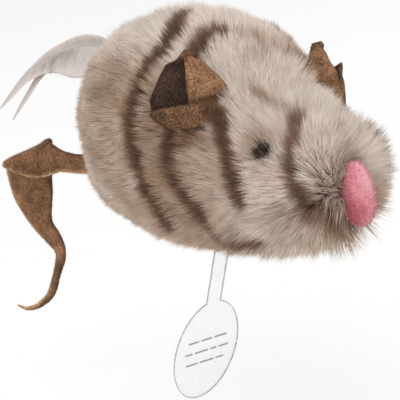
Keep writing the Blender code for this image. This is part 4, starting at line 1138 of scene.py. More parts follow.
class MOUSE_OT_pile(bpy.types.Operator):
    """Plant, comb and dye the pile"""
    bl_idname = "mouse.pile"
    bl_label = "Pile"

    def execute(self, context):
        settings = context.scene.mouse_toy.pile
        finish = striped_pile()
        light, tan, dark, under = (tint(value) for value in (settings.light, settings.tan, settings.dark,
                                                             settings.under))
        blocks, length = joined_tree(BLOCKING_PIECES), PLANTED_LENGTH
        for number, (name, start, end, low, high) in enumerate(pile_parts()):
            share, degrees = np.meshgrid(np.linspace(low, high, PILE_GRID), np.linspace(start, end, PILE_GRID),
                                         indexing="ij")
            grid = body_points(share, degrees, backing_inset(share))
            carrier = add_mesh(name, grid.reshape(-1, 3), grid_faces(PILE_GRID, PILE_GRID, flip=True))
            store(carrier.data, "share", share)
            store(carrier.data, "degrees", degrees)
            area = sum(polygon.area for polygon in carrier.data.polygons)
            mesh, roots, local = planted(carrier, finish, settings.radius, length, 20 + number,
                                         density=settings.strands / area)
            per_strand = len(local)
            own_share = read(mesh, "share").reshape(-1, per_strand)[:, 0]
            own_degrees = read(mesh, "degrees").reshape(-1, per_strand)[:, 0]
            keep = clear_of_trim(roots)
            if not keep.all():
                keep_strands(mesh, keep, per_strand)
                roots, own_share, own_degrees = roots[keep], own_share[keep], own_degrees[keep]
            paths, outward = pile_paths(own_share, own_degrees, roots, 40 + number)
            tuft = clump(paths, roots, PILE_TUFT, settings.clumping, 60 + number)
            turn_along(paths, blocks)
            random = np.random.default_rng(80 + number)
            girth = random.uniform(0.75, 1.25, len(roots))
            bend_strands(mesh, local, length, paths, girth, outward, PILE_SOFTNESS)
            seen_at = paths[:, 3]
            above = np.sum((seen_at - body_points(own_share, own_degrees)) * outward, axis=1, keepdims=True)
            seen_at = seen_at - outward * above
            strength = stripe_strength(seen_at, own_degrees)
            strength = np.maximum(strength, NOSE_RIM_DYE[1] * nose_rim(roots, NOSE_RIM_DYE[0]))
            strength = np.clip(strength * random.uniform(0.86, 1.1, len(roots)), 0, 1)
            # Tan ground, partly painted shade on the flanks
            ground = flank_tan_and_shade(seen_at, own_share, own_degrees)[:, None]
            shades = pile_shades(light * (1 - ground) + tan * ground, dark, under, strength, tuft, seen_at,
                                 np.clip(local[:, 2] / length, 0, 1), random)
            finish_strands(mesh, shades, len(roots), local, length, ("share", "degrees", "root"))
            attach(carrier, "mouse")
        return {"FINISHED"}


BLOCKING_PIECES = ("ear_cup_left", "ear_cup_right", "nose_felt", "tail_strap", "tail_drop", "feather_wide_quill",
                   "feather_slim_quill", "tab_strip", "tab_pull")


def joined_tree(names):
    points, faces = [], []
    for name in names:
        item = bpy.data.objects.get(name)
        if item is None:
            raise RuntimeError(name + " has to be made before the pile")
        start = len(points)
        points += [vertex.co.copy() for vertex in item.data.vertices]
        faces += [[start + index for index in polygon.vertices] for polygon in item.data.polygons]
    return BVHTree.FromPolygons(points, faces)


def clear_of_trim(roots):
    """False for the tufts that would stand under the nose, in an ear's seam or in the tab's slit."""
    keep = np.ones(len(roots), bool)
    across = (roots[:, 1] - NOSE_MIDDLE.y) / (NOSE_HALVES[0] * NOSE_SEAT[0])
    up = (roots[:, 2] - NOSE_MIDDLE.z) / (NOSE_HALVES[1] * NOSE_SEAT[1])
    keep &= ~((roots[:, 0] > NOSE_SEAT_FROM) & (np.hypot(across, up) < 1.0))
    for side in (1, -1):
        eye = body_points(*eye_place(side), backing_inset(EYE_SHARE))[0]
        keep &= np.linalg.norm(roots - eye, axis=1) > EYE_CLEARING
    keep &= ~((np.abs(roots[:, 0] - TAB_X) < TAB_CLEARING[0]) & (np.abs(roots[:, 1]) < TAB_CLEARING[1])
              & (roots[:, 2] < TAB_SLIT_HEIGHTS[1]))
    for _, side, share, degrees, _ in EAR_PLACES:
        middle, loop = ear_line(side, share, degrees, 24)
        inside = np.zeros(len(roots), bool)
        for a, b in zip(loop, np.roll(loop, -1, axis=0)):
            crosses = (a[1] > roots[:, 1]) != (b[1] > roots[:, 1])
            with np.errstate(divide="ignore", invalid="ignore"):
                at = a[0] + (roots[:, 1] - a[1]) * (b[0] - a[0]) / (b[1] - a[1])
            inside ^= crosses & (roots[:, 0] < at)
        keep &= ~(inside & (roots[:, 2] > middle[2] - 7.5 * MM))
    return keep


# Ears

def ear_loop(part):
    """A point on the smooth closed loop at an ear's base."""
    count = len(EAR_LOOP_SHARES)
    place = part * count
    index, local = int(place) % count, place - int(place)
    knots = EAR_LOOP_SHARES[[(index + step) % count for step in (-1, 0, 1, 2)]]
    weights = np.array((-local ** 3 + 2 * local ** 2 - local, 3 * local ** 3 - 5 * local ** 2 + 2,
                        -3 * local ** 3 + 4 * local ** 2 + local, local ** 3 - local ** 2))
    return EAR_SPAN / 2 * weights @ knots


def on_side(side, degrees):
    """An angle up from the left or the right side, as an angle round the body."""
    return 90 - side * (90 - degrees)


def ear_line(side, share, degrees, steps):
    """The middle of an ear's base, and points along its loop from above."""
    middle = body_points([share], [on_side(side, degrees)])[0]
    loop = [ear_loop(EAR_LOOP_END * step / steps) for step in range(steps + 1)]
    return middle, np.array([(middle[0] + forward, middle[1] + side * outward) for forward, outward in loop])


def ear_grid(side, share, degrees, flap, rows):
    """The ear's middle surface, how thick and high it is and where on the loop: columns go round, rows up."""
    middle = body_points([share], [on_side(side, degrees)])[0]
    tip = np.array((EAR_TIP_SHARES[0] * EAR_SPAN, side * EAR_TIP_SHARES[1] * EAR_SPAN, EAR_HEIGHT))
    wing = np.linspace(0.0, EAR_WING_SHARE, 52)
    places = np.concatenate([wing, np.linspace(EAR_WING_SHARE + 0.002, EAR_LOOP_END, 26)])
    flap = np.array(flap)
    tops = np.full(len(places), 0.988 if side < 0 else 0.93)
    tops = np.where(places <= EAR_WING_SHARE, tops, np.interp(places, flap[:, 0], flap[:, 1]))
    foot = -EAR_ROOT_DEPTH / EAR_HEIGHT
    grid = np.empty((rows, len(places), 3))
    thickness, heights = np.empty((2, rows, len(places)))
    for column, (place, top) in enumerate(zip(places, tops)):
        foremost, outward = ear_loop(place)
        corner = foot + EAR_CORNER * (smooth_step(0.78, 0.93, place) + 1 - smooth_step(0.0, 0.07, place))
        for row in range(rows):
            height = corner + (top - corner) * row / (rows - 1)
            taper = (1 - max(height, 0.0)) ** 0.60
            # The two sides of the tip are drawn together
            closing = 0.8 * smooth_step(0.62, 0.93, height)
            forward = foremost * (1 - closing) + EAR_SPAN / 2 * 0.24 * closing
            # The lit panel is pinched in where it meets the flap
            pinch = 1 - 0.13 * math.exp(-((height - 0.02) / 0.10) ** 2 - ((place - 0.52) / 0.14) ** 2)
            if side > 0:
                pinch += 0.46 * smooth_step(0.0, 0.32, height) * math.exp(-((place - 0.80) / 0.075) ** 2)
            grid[row, column] = middle + tip * height + np.array((forward, side * outward, 0.0)) * taper * pinch
            thickness[row, column] = min(1.0, EAR_TIP_THINNING * taper)
            heights[row, column] = height
    return grid, thickness, heights, np.broadcast_to(places, heights.shape)


def nap_on(item, name, nap, seed, body, finish):
    """Short brushed fibres all over a piece, each with a shade near the surface's own."""
    count, length, radius, stray, contrast = nap
    carrier = bpy.data.objects.new(name, item.data.copy())
    bpy.context.scene.collection.objects.link(carrier)
    area = sum(polygon.area for polygon in carrier.data.polygons)
    normals = np.empty(len(carrier.data.vertices) * 3, np.float32)
    carrier.data.vertices.foreach_get("normal", normals)
    store(carrier.data, "facing", normals, "FLOAT_VECTOR")
    mesh, roots, local = planted(carrier, finish, radius, length, seed, density=count / area, segments=1)
    per_strand = len(local)
    facing = unit(read(mesh, "facing", 3).reshape(-1, per_strand, 3)[:, 0])
    random = np.random.default_rng(seed)
    heading = unit(facing + stray * random.normal(size=facing.shape) + np.array((0, 0, -0.25)))
    reach = length * random.uniform(0.5, 1.3, len(roots))[:, None]
    paths = np.stack([roots - facing * 0.05 * MM, roots + heading * reach], axis=1)
    bend_strands(mesh, local, length, paths, random.uniform(0.7, 1.3, len(roots)), facing, NAP_SOFTNESS)
    base = read(mesh, "dye", 4).reshape(-1, per_strand, 4)[:, 0, :3]
    tone = np.exp(random.normal(-contrast ** 2 / 2, contrast, len(roots)))[:, None]
    shades = np.repeat((base * tone)[:, None], per_strand, axis=1)
    finish_strands(mesh, shades, len(roots), local, length, ("facing", "root", "dye"))
    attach(carrier, body)
    return carrier


class MOUSE_OT_ears(bpy.types.Operator):
    """Fold the suede ears into cups"""
    bl_idname = "mouse.ears"
    bl_label = "Ears"

    def execute(self, context):
        settings = context.scene.mouse_toy.suede
        finish = brushed_suede()
        fibres = fibre_material("suede_nap_fibres", 0.9, 0.3, "#d9a783")
        face, back, rows = tint(settings.face), tint(settings.back), EAR_ROWS
        for word, side, share, degrees, flap in EAR_PLACES:
            grid, thickness, height, place = ear_grid(side, share, degrees, flap, rows)
            columns = grid.shape[1]
            normals = grid_normals(grid) * side
            flat = grid.reshape(-1, 3)
            crumple = 0.30 * MM * soft_noise(flat, 5 * MM, 31 + side) + 0.12 * MM * soft_noise(flat, 2 * MM, 33)
            grid = grid + normals * crumple.reshape(rows, columns, 1)
            half = (settings.thickness / 2 * thickness)[:, :, None]
            front, behind = grid + normals * half, grid - normals * half
            ear = add_mesh("ear_cup_" + word, *(slab(front, behind) if side < 0 else slab(behind, front)), finish)
            row, column = np.meshgrid(np.arange(rows), np.arange(columns), indexing="ij")
            rim = np.minimum(np.minimum(column, columns - 1 - column) * 0.35, rows - 1 - row)
            worn = np.exp(-(rim / 0.8) ** 2).ravel()[:, None] * 0.7
            # Painted light on the panel that faces the lamps and painted shade on the flap below it; the far ear is
            # painted a little lighter all over
            if side < 0:
                painted_light = np.interp(place, (0.16, 0.26, 0.60, 0.68), (1.05, 1.28, 1.28, 0.70))
                painted_light = 0.70 + (painted_light - 0.70) * smooth_step(-0.10, 0.02, height)
                # Painted shade in the crease where the panel meets the flap
                painted_light = painted_light * (1 - 0.6 * np.exp(-((height + 0.04) / 0.06) ** 2) * smooth_step(0.36, 0.44, place))
            else:
                painted_light = np.full(place.shape, 1.08)
            outer = face * painted_light.reshape(-1, 1)
            outer = outer * (1 - worn) + back * 0.7 * worn
            seen = smooth_step(0.91, 0.95, row / (rows - 1)).reshape(-1, 1)
            # The back colour inside the cup carries painted shade as well as the suede's own back colour; near the rim
            # the face colour shows
            inner = (back * (1 - seen) + face * 1.1 * seen) * (1 - worn) + back * 0.7 * worn
            store_dye(ear.data, np.concatenate([outer, inner] if side < 0 else [inner, outer]))
            hairs = nap_on(ear, "ear_nap_" + word, EAR_NAP, 300 + side, "mouse", fibres)
            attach(ear, "mouse")
            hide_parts("ear_" + word)
        return {"FINISHED"}


# Eyes and nose

class MOUSE_OT_eyes(bpy.types.Operator):
    """Stitch the tufts of dark thread"""
    bl_idname = "mouse.eyes"
    bl_label = "Eyes"

    def execute(self, context):
        settings = context.scene.mouse_toy.trim
        thread = fibre_material("dark_eye_thread", 0.6, 0.05)
        count, length = EYE_STRANDS, EYE_STRAND_LENGTH
        for word, side in (("left", 1), ("right", -1)):
            random = np.random.default_rng(500 + side)
            share = EYE_SHARE + random.normal(0, EYE_STRAY[0], count)
            degrees = on_side(side, EYE_DEGREES + random.normal(0, EYE_STRAY[1], count))
            roots = body_points(share, degrees, backing_inset(share))
            carrier = add_mesh("eye_tuft_" + word, roots, [])
            mesh, roots, local = planted(carrier, thread, 0.15 * MM, length, 1)
            outward, rearward = body_directions(share, degrees)
            beside = np.cross(outward, rearward)
            angle, swirl = np.radians(random.normal(10, 8, count)), random.uniform(0, math.tau, count)
            lay = unit(rearward * np.cos(swirl)[:, None] + beside * np.sin(swirl)[:, None])
            reach = length * random.uniform(0.75, 1.12, count)[:, None]
            bent = unit(outward * np.cos(angle)[:, None] + lay * np.sin(angle)[:, None] - 0.2 * rearward)
            curl = unit(bent + lay * random.uniform(0.2, 0.8, count)[:, None] + 0.3 * random.normal(size=(count, 3)))
            bend = roots + bent * reach * 0.6
            paths = np.stack([roots, bend, bend + curl * reach * 0.4], axis=1)
            clump(paths, roots, EYE_TUFT, 0.5, 510)
            bend_strands(mesh, local, length, paths, random.uniform(0.8, 1.3, count), outward, EYE_SOFTNESS)
            shades = tint(settings.eye_thread) * random.uniform(0.5, 1.3, count)[:, None, None]
            finish_strands(mesh, shades * np.ones((1, len(local), 1)), count, local, length)
            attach(carrier, "mouse")
            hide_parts("eye_" + word)
        return {"FINISHED"}


class MOUSE_OT_nose(bpy.types.Operator):
    """Pad the felt nose"""
    bl_idname = "mouse.nose"
    bl_label = "Nose"

    def execute(self, context):
        settings = context.scene.mouse_toy.trim
        half_width, half_height, depth = NOSE_HALVES
        rings, columns = NOSE_RINGS, NOSE_COLUMNS
        points = []
        for ring in range(1, rings):
            angle = math.pi * ring / rings - math.pi / 2
            wide, rise = math.cos(angle) ** (2 / NOSE_SQUARENESS), math.sin(angle)
            forward = NOSE_MIDDLE.x + depth * rise * NOSE_BULGES[0 if rise > 0 else 1]
            for step in range(columns):
                turn = math.tau * step / columns
                up = math.sin(turn)
                # A little narrower at the top
                points.append((forward, NOSE_MIDDLE.y + half_width * wide * math.cos(turn) * (1 - 0.07 * up),
                               NOSE_MIDDLE.z + half_height * wide * up))
        points, middle = np.array(points), np.array(NOSE_MIDDLE)
        points = middle + (points - middle) * (1 + 0.025 * soft_noise(points, 4 * MM, 70)[:, None])
        faces = grid_faces(rings - 1, columns, closed=True)
        last = (rings - 2) * columns
        faces += [tuple(range(columns - 1, -1, -1)), tuple(range(last, last + columns))]
        nose = add_mesh("nose_felt", points, faces, pressed_felt())
        # The felt is paler in a painted highlight along its upper ridge, and darker in painted shade low down on the
        # near side, mottled at random
        across, up = (points[:, 1] - middle[1]) / half_width, (points[:, 2] - middle[2]) / half_height
        ridge = np.exp(-((across - 0.1) / 0.42) ** 2 - ((up - 0.40) / 0.50) ** 2)
        painted_shade = np.exp(-((across + 0.8) / 0.50) ** 2) * smooth_step(0.5, -0.7, up)
        # A random mottle that deepens the painted shade, kept off the painted highlight
        worn = 0.30 * soft_noise(points, 2.4 * MM, 72) * np.clip(1.2 - ridge, 0, 1)
        # Pink felt, its painted highlight colour and its painted shade colour
        pink, pale, painted_shade_pink = (tint(value) for value in ("#e8959f", "#f7bdc4", "#c46670"))
        ridge, painted_shade = (ridge * 0.8)[:, None], np.clip(painted_shade + worn * 0.5, 0, 0.9)[:, None]
        store_dye(nose.data, (pink * (1 - ridge) + pale * ridge) * (1 - painted_shade) + painted_shade_pink * painted_shade)
        fibres = fibre_material("pink_felt_fibres", 0.9, 0.2, "#ffd5da")
        nap = NOSE_NAP[:1] + (settings.nose_nap,) + NOSE_NAP[2:]
        nap_on(nose, "nose_nap", nap, 71, "mouse", fibres)
        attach(nose, "mouse")
        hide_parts("nose_pad")
        return {"FINISHED"}


# Tail

def tail_parts():
    """The fold's end, its middle and its direction."""
    up = Vector((0.0, 0.0, 1.0))
    crease = (TAIL_OUTWARD * -math.cos(TAIL_FOLD_ANGLE) + up * math.sin(TAIL_FOLD_ANGLE)) * TAIL_FOLD_LENGTH
    end = TAIL_ROOT + TAIL_OUTWARD * TAIL_REACH
    return end, end + crease / 2, crease


def fold_roll(end, crease, radius):
    """Feet, heads and outward directions round the fold, from the strap's near face over to its far one."""
    turns = [Matrix.Rotation(math.pi * step / TAIL_ROLL_STEPS, 3, crease) for step in range(TAIL_ROLL_STEPS + 1)]
    top = TAIL_ROLL_STEPS // 2
    if (turns[top] @ TAIL_FACE).z < 0:
        turns = [turn.inverted() for turn in turns]
    outwards = [turn @ TAIL_FACE for turn in turns]
    offsets = [outward * radius - outwards[top] * TAIL_ROLL_INSET for outward in outwards]
    return [(end + offset, end + crease + offset, outward) for offset, outward in zip(offsets, outwards)]


def resample(stations, count):
    """Stations along a smooth curve through the given ones, evenly spaced by index."""
    stations = np.array(stations, float)
    places = np.linspace(0, len(stations) - 1, count)
    index = np.minimum(places.astype(int), len(stations) - 2)
    local = (places - index)[:, None]
    padded = np.concatenate([2 * stations[:1] - stations[1:2], stations, 2 * stations[-1:] - stations[-2:-1]])
    p0, p1, p2, p3 = (padded[index + step] for step in range(4))
    return 0.5 * (2 * p1 + (p2 - p0) * local + (2 * p0 - 5 * p1 + 4 * p2 - p3) * local ** 2
                  + (3 * p1 - p0 - 3 * p2 + p3) * local ** 3)


def strap(name, feet, heads, facings, rows, thickness, settings, finish, curl, roll, roll_first=False,
          painted_bands=()):
    """A strip of suede between two edges that ends in a roll, with a soft rounded section and a paler lower edge."""
    columns = TAIL_COLUMNS
    order = -1 if roll_first else 1
    feet, heads, facing = (np.concatenate([resample(line, rows), np.array(turned, float)][::order])
                           for line, turned in zip((feet, heads, facings), roll))
    rows, facing = len(feet), unit(facing)
    across = np.linspace(-1, 1, columns)
    middle, half = (heads + feet) / 2, (heads - feet) / 2
    width = np.linalg.norm(half, axis=1, keepdims=True)
    grid = middle[:, None] + half[:, None] * across[None, :, None]
    cup = (across[None, :] ** 2 - 0.4) * curl * width
    grid = grid + facing[:, None] * cup[:, :, None]
    flat = grid.reshape(-1, 3)
    wave = 0.25 * MM * soft_noise(flat, 9 * MM, 91) + 0.08 * MM * soft_noise(flat, 2.2 * MM, 92)
    grid = grid + facing[:, None] * wave.reshape(rows, columns, 1)
    turned = slice(0, len(roll[0])) if roll_first else slice(rows - len(roll[0]), rows)
    axis = (grid[turned][0] + grid[turned][-1]) / 2
    grid[turned] = axis + (grid[turned] - axis) * (1 - 0.55 * np.abs(across) ** 5)[None, :, None]
    round_edge = np.sqrt(1 - np.abs(across) ** 10 * 0.6)[None, :, None]
    half_thick = np.minimum(thickness / 2, width * 0.6)[:, None]
    front = grid + facing[:, None] * half_thick * round_edge
    behind = grid - facing[:, None] * half_thick * round_edge
    face, edge = tint(settings.face), tint(settings.edge)
    worn = np.exp(-((1 + across) * width / (0.75 * MM)) ** 2)[:, :, None] * 0.9
    tones = 1 + (0.08 * soft_noise(flat, 8 * MM, 93) + 0.13 * soft_noise(flat, 2.6 * MM, 94)).reshape(rows, columns, 1)
    tones = tones * (1 - 0.4 * np.exp(-((1 - across) * width / (0.6 * MM)) ** 2)[:, :, None])
    along = np.linspace(0, 1, rows)[:, None, None]
    # Painted light and shade in bands along the strip
    for place, reach, amount in painted_bands:
        tones = tones * (1 + amount * np.exp(-((along - place) / reach) ** 2))
    dye = (face * tones * 0.80) * (1 - worn) + edge * worn
    made = add_mesh(name, *slab(front, behind), finish)
    store_dye(made.data, np.concatenate([dye.reshape(-1, 3), dye.reshape(-1, 3)]))
    return made


class MOUSE_OT_tail(bpy.types.Operator):
    """Cut and fold the suede tail"""
    bl_idname = "mouse.tail"
    bl_label = "Tail"

    def execute(self, context):
        settings = context.scene.mouse_toy.suede
        finish = bpy.data.materials["brushed_imitation_suede"]
        fibres = bpy.data.materials["suede_nap_fibres"]
        up = Vector((0.0, 0.0, 1.0))
        end, middle, crease = tail_parts()
        feet = [TAIL_ROOT - up * TAIL_ROOT_HEIGHT / 2]
        heads = [TAIL_ROOT + up * TAIL_ROOT_HEIGHT / 2]
        for reach, upper, lower in TAIL_UPPER_SHARES:
            station = TAIL_ROOT + (TAIL_OUTWARD * reach) * TAIL_REACH
            feet.append(station + up * TAIL_REACH * lower)
            heads.append(station + up * TAIL_REACH * upper)
        facings = [TAIL_FACE] * (len(feet) + 4)
        last_foot, last_head = feet[-1].copy(), heads[-1].copy()
        for step in (0.25, 0.5, 0.75, 1.0):
            sag = up * TAIL_FOLD_SAG * math.sin(math.pi * step)
            feet.append(last_foot.lerp(end, step) - sag)
            heads.append(last_head.lerp(end + crease, step))
        layered = [min(1.0, (foot - TAIL_ROOT).length / (TAIL_REACH * TAIL_UPPER_SHARES[1][0])) for foot in feet]
        feet = [foot + TAIL_FACE * TAIL_LAYER * share for foot, share in zip(feet, layered)]
        heads = [head + TAIL_FACE * TAIL_LAYER * share for head, share in zip(heads, layered)]
        inside = Vector((TAIL_SEWN_DEPTH, 0.0, 0.0))
        feet.insert(0, feet[0] + inside)
        heads.insert(0, heads[0] + inside)
        facings.insert(0, TAIL_FACE)
        rolled = fold_roll(end, crease, TAIL_LAYER)
        upper = strap("tail_strap", feet[:-1], heads[:-1], facings[:-1], TAIL_ROWS[0], settings.thickness, settings,
                      finish, TAIL_CURLS[0], list(zip(*rolled)))

        middles = [middle + (TAIL_OUTWARD * out - up * down) * TAIL_HANG for out, down, _, _ in TAIL_LOWER_SHARES]
        lows, highs, faces = [middle - crease / 2], [middle + crease / 2], [TAIL_FACE]
        for index, (_, _, half_width, twist) in enumerate(TAIL_LOWER_SHARES):
            behind = middles[index - 1] if index else middle
            path = middles[min(index + 1, len(middles) - 1)] - behind
            spin = Matrix.Rotation(math.radians(twist), 3, path)
            across = (spin @ TAIL_FACE.cross(path).normalized()) * TAIL_HANG * half_width
            lows.append(middles[index] - across)
            highs.append(middles[index] + across)
            faces.append((spin @ TAIL_FACE).normalized())
        shift = TAIL_FACE * TAIL_LAYER
        lows, highs = [point - shift for point in lows], [point - shift for point in highs]
        rolled = fold_roll(end, crease, TAIL_LAYER * TAIL_ROLL_NESTING)
        turn = Matrix.Rotation(TAIL_OPEN_ANGLE, 3, crease)
        lows, highs = ([middle + turn @ (point - middle) for point in line] for line in (lows[1:], highs[1:]))
        rolled = [(middle + turn @ (low - middle), middle + turn @ (high - middle), turn @ outward)
                  for low, high, outward in rolled]
        lower = strap("tail_drop", lows, highs, [turn @ -outward for outward in faces[1:]], TAIL_ROWS[1],
                      settings.thickness * TAIL_ROLL_NESTING, settings, finish, TAIL_CURLS[1], list(zip(*rolled)),
                      roll_first=True, painted_bands=TAIL_DROP_PAINTED_LIGHT)

        for item, body, node, rest, flat, area in (
                (upper, "tail_strip", "tail_upper", "backing_right", (0.018, 0.049), 0.00038),
                (lower, "tail_end", "tail_lower", "tail_strap", (0.018, 0.065), 0.00053)):
            hairs = nap_on(item, item.name + "_nap", TAIL_NAP, 330, body, fibres)
            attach(item, body)
            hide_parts(node)
        return {"FINISHED"}


# Feathers

def feather_line(shares, start, aside, count):
    """Points along a quill with the vane's half width, and its directions along and up."""
    stations = []
    for out, rise, half in shares:
        place = start + TAIL_OUTWARD * FEATHER_LENGTH * out + Vector((0, 0, 1)) * FEATHER_LENGTH * rise
        place += aside * min(1.0, out / FEATHER_SPREAD_SHARE)
        stations.append((*place, FEATHER_LENGTH * half))
    curve = resample(stations, count)
    tangent = unit(np.gradient(curve[:, :3], axis=0))
    upward = unit(np.cross(np.array(TAIL_FACE), tangent))
    upward = np.where(upward[:, 2:] < 0, -upward, upward)
    half = np.maximum(curve[:, 3], 0.15 * MM)
    return curve[:, :3] + upward * (half * QUILL_RISE)[:, None], half, tangent, upward


def vane(name, line, half, upward, settings, finish, random):
    """Barbs hooked side by side into thin sheets that part here and there."""
    count, face, shade = len(line), np.array(TAIL_FACE), tint(settings.feather)
    along = np.linspace(0, 1, BARB_STEPS)[None, :, None]
    index, spacing = np.arange(count), np.linalg.norm(np.gradient(line, axis=0), axis=1)
    points, faces, dye = [], [], []
    for side in (1, -1):
        first = VANE_ENDS[0]
        while first < count - VANE_ENDS[1]:
            last = min(count - 1, first + int(random.integers(*BARB_RUNS)))
            own = np.arange(first, last + 1)
            part = (own / (count - 1))[:, None, None]
            cut = 1 - 0.03 * (own % 2) - 0.03 * random.random(len(own)) - 0.06 * (random.random(len(own)) < 0.02)
            part_width = 1 - side * QUILL_RISE
            lean = 0.60 + 0.35 * own / (count - 1) + 0.02 * np.sin(own * 0.15)
            place = own[:, None] + (lean * half[own] * part_width / spacing[own])[:, None] * along[0, :, 0] ** 1.25
            place = np.minimum(place, count - 1)
            reach = (np.interp(place[:, -1], index, half) * cut * part_width)[:, None, None]
            root = np.stack([np.interp(place, index, line[:, axis]) for axis in range(3)], axis=-1)
            upright = unit(np.stack([np.interp(place, index, upward[:, axis]) for axis in range(3)], axis=-1))
            ridge = np.where(own % 2, BARB_RIDGE, -BARB_RIDGE)[:, None, None] + random.uniform(-0.02, 0.02) * MM
            camber = (0.10 * reach * along ** 2 + 0.10 * reach * np.sin(part * 11 + side)) * np.minimum(along * 3, 1)
            grid = root + upright * side * reach * along + face * (camber + ridge)
            thin = face * BARB_THICKNESS * (1.2 - along)
            sheet_points, sheet_faces = slab(grid + thin, grid - thin)
            if side > 0:
                sheet_faces = [loop[::-1] for loop in sheet_faces]
            faces += [tuple(len(points) + index for index in loop) for loop in sheet_faces]
            points += list(sheet_points)
            tone = (1 + 0.025 * random.normal(size=len(own)) - 0.03 * (own % 2))[:, None, None]
            shades = (shade * tone * (0.94 + 0.34 * along ** 3)).reshape(-1, 3)
            dye += [*shades, *shades]
            first = last - 1
    made = add_mesh(name, points, faces, finish)
    store_dye(made.data, np.clip(dye, 0, 1))
    return made


def quill(name, line, upward, settings, finish):
    """A tapered round stem."""
    face, sides = np.array(TAIL_FACE), QUILL_SIDES
    rings = []
    for index in range(0, len(line), QUILL_STEP):
        radius = QUILL_RADIUS * (1 - 0.75 * index / len(line))
        for turn in np.linspace(0, math.tau, sides, endpoint=False):
            rings.append(line[index] + (upward[index] * math.cos(turn) + face * math.sin(turn)) * radius)
    rows = len(rings) // sides
    faces = grid_faces(rows, sides, closed=True)
    faces += [tuple(range(sides - 1, -1, -1)), tuple(range((rows - 1) * sides, rows * sides))]
    made = add_mesh(name, rings, faces, finish)
    store_dye(made.data, np.tile(tint(settings.quill), (len(rings), 1)))
    return made


def down(name, line, half, tangent, upward, settings, finish, random):
    """Loose barbs: long soft ones at the quill's foot, short ones along the vane's edges."""
    count, (loose_count, foot) = DOWN_COUNT, DOWN_FOOT
    index = np.where(np.arange(count) < loose_count, random.integers(4, foot, count),
                     random.integers(30, len(line) - 4, count))
    side = np.where(random.random(count) < 0.5, 1.0, -1.0)[:, None]
    face, loose = np.array(TAIL_FACE), (index < foot)[:, None]
    fan = np.where(loose, 0.9, 0.12) * random.normal(size=(count, 1))
    heading = unit(upward[index] * side + tangent[index] * random.uniform(0.5, 1.1, (count, 1)) + face * fan)
    edge = half[index] * (1 - side[:, 0] * QUILL_RISE) * random.uniform(0.95, 1.2, count)
    reach = np.where(loose[:, 0], random.uniform(2.0, 4.6, count) * MM, edge)
    roots = line[index]
    droop = np.array((0.0, 0.0, -0.25)) * loose
    tips = roots + (heading + droop) * reach[:, None]
    bends = roots + heading * reach[:, None] * 0.55 + face * reach[:, None] * 0.04 * random.normal(size=(count, 1))
    made = add_mesh(name, roots, [])
    length = 8 * MM
    mesh, _, local = planted(made, finish, 0.06 * MM, length, 1)
    bend_strands(mesh, local, length, np.stack([roots, bends, tips], axis=1), random.uniform(0.7, 1.2, count),
                 np.repeat(face[None], count, axis=0), DOWN_SOFTNESS)
    shades = tint(settings.feather) * random.normal(1.04, 0.05, (count, 1, 1))
    finish_strands(mesh, shades * np.ones((1, len(local), 1)), count, local, length)
    return made


class MOUSE_OT_feathers(bpy.types.Operator):
    """Set the two feathers"""
    bl_idname = "mouse.feathers"
    bl_label = "Feathers"

    def execute(self, context):
        settings = context.scene.mouse_toy.trim
        finish = white_feather()
        for name, node, shares, start, aside, seed in (
                ("feather_wide", "feather_broad", BROAD_FEATHER_SHARES, FEATHER_BASE, Vector(), 601),
                ("feather_slim", "feather_narrow", NARROW_FEATHER_SHARES, SLIM_FEATHER_BASE,
                 TAIL_FACE * -FEATHER_LAYER, 602)):
            random = np.random.default_rng(seed)
            line, half, tangent, upward = feather_line(shares, start, aside, FEATHER_STATIONS)
            sheets = vane(name, line, half, upward, settings, finish, random)
            others = [quill(name + "_quill", line, upward, settings, finish),
                      down(name + "_down", line, half, tangent, upward, settings, finish, random)]
            for item in (sheets, *others):
                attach(item, "feathers")
            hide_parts(node)
        return {"FINISHED"}


# Pull tab

def tab_outline(inset, count=72):
    """The tab's outline on its own plane: stem upwards, oval below."""
    width = TAB_STEM_WIDTH / 2 - inset
    half_width, half_length = TAB_OVAL_WIDTH / 2 - inset, TAB_OVAL_LENGTH / 2 - inset
    middle = -TAB_STEM_LENGTH - TAB_OVAL_LENGTH / 2
    reach = math.asin(width / half_width)
    outline = [(width, -TAB_FOLD_GAP - inset), (-width, -TAB_FOLD_GAP - inset)]
    for step in range(count + 1):
        turn = math.pi / 2 + reach + (math.tau - 2 * reach) * step / count
        outline.append((half_width * math.cos(turn), middle + half_length * math.sin(turn)))
    return outline


def tab_frame():
    fold = Vector((TAB_X, 0.0, -TAB_FOLD_DROP))
    tilt = Matrix.Translation(fold) @ Matrix.Rotation(TAB_TILT, 4, "Y")
    return tilt @ Matrix(((0, 0, 1, 0), (1, 0, 0, 0), (0, 1, 0, 0), (0, 0, 0, 1)))


def prism(outline, low, high, place, first=0):
    """Points and faces of an outline with a thickness, numbered from the given point on."""
    count = len(outline)
    points = [place @ Vector((x, y, level)) for level in (low, high) for x, y in outline]
    faces = [tuple(range(count - 1, -1, -1)), tuple(range(count, 2 * count))]
    faces += [(i, (i + 1) % count, count + (i + 1) % count, count + i) for i in range(count)]
    return points, [tuple(first + i for i in face) for face in faces]


def rim_band(name, outer, inner, low, high, place, finish):
    """A closed band along an outline."""
    count = len(outer)
    points, faces = [], []
    for outline, level in ((outer, low), (outer, high), (inner, high), (inner, low)):
        points += [place @ Vector((x, y, level)) for x, y in outline]
    for ring in range(4):
        for i in range(count):
            after = (i + 1) % count
            a, b = ring * count, ((ring + 1) % 4) * count
            faces.append((a + i, a + after, b + after, b + i))
    return add_mesh(name, points, faces, finish, smooth=False)


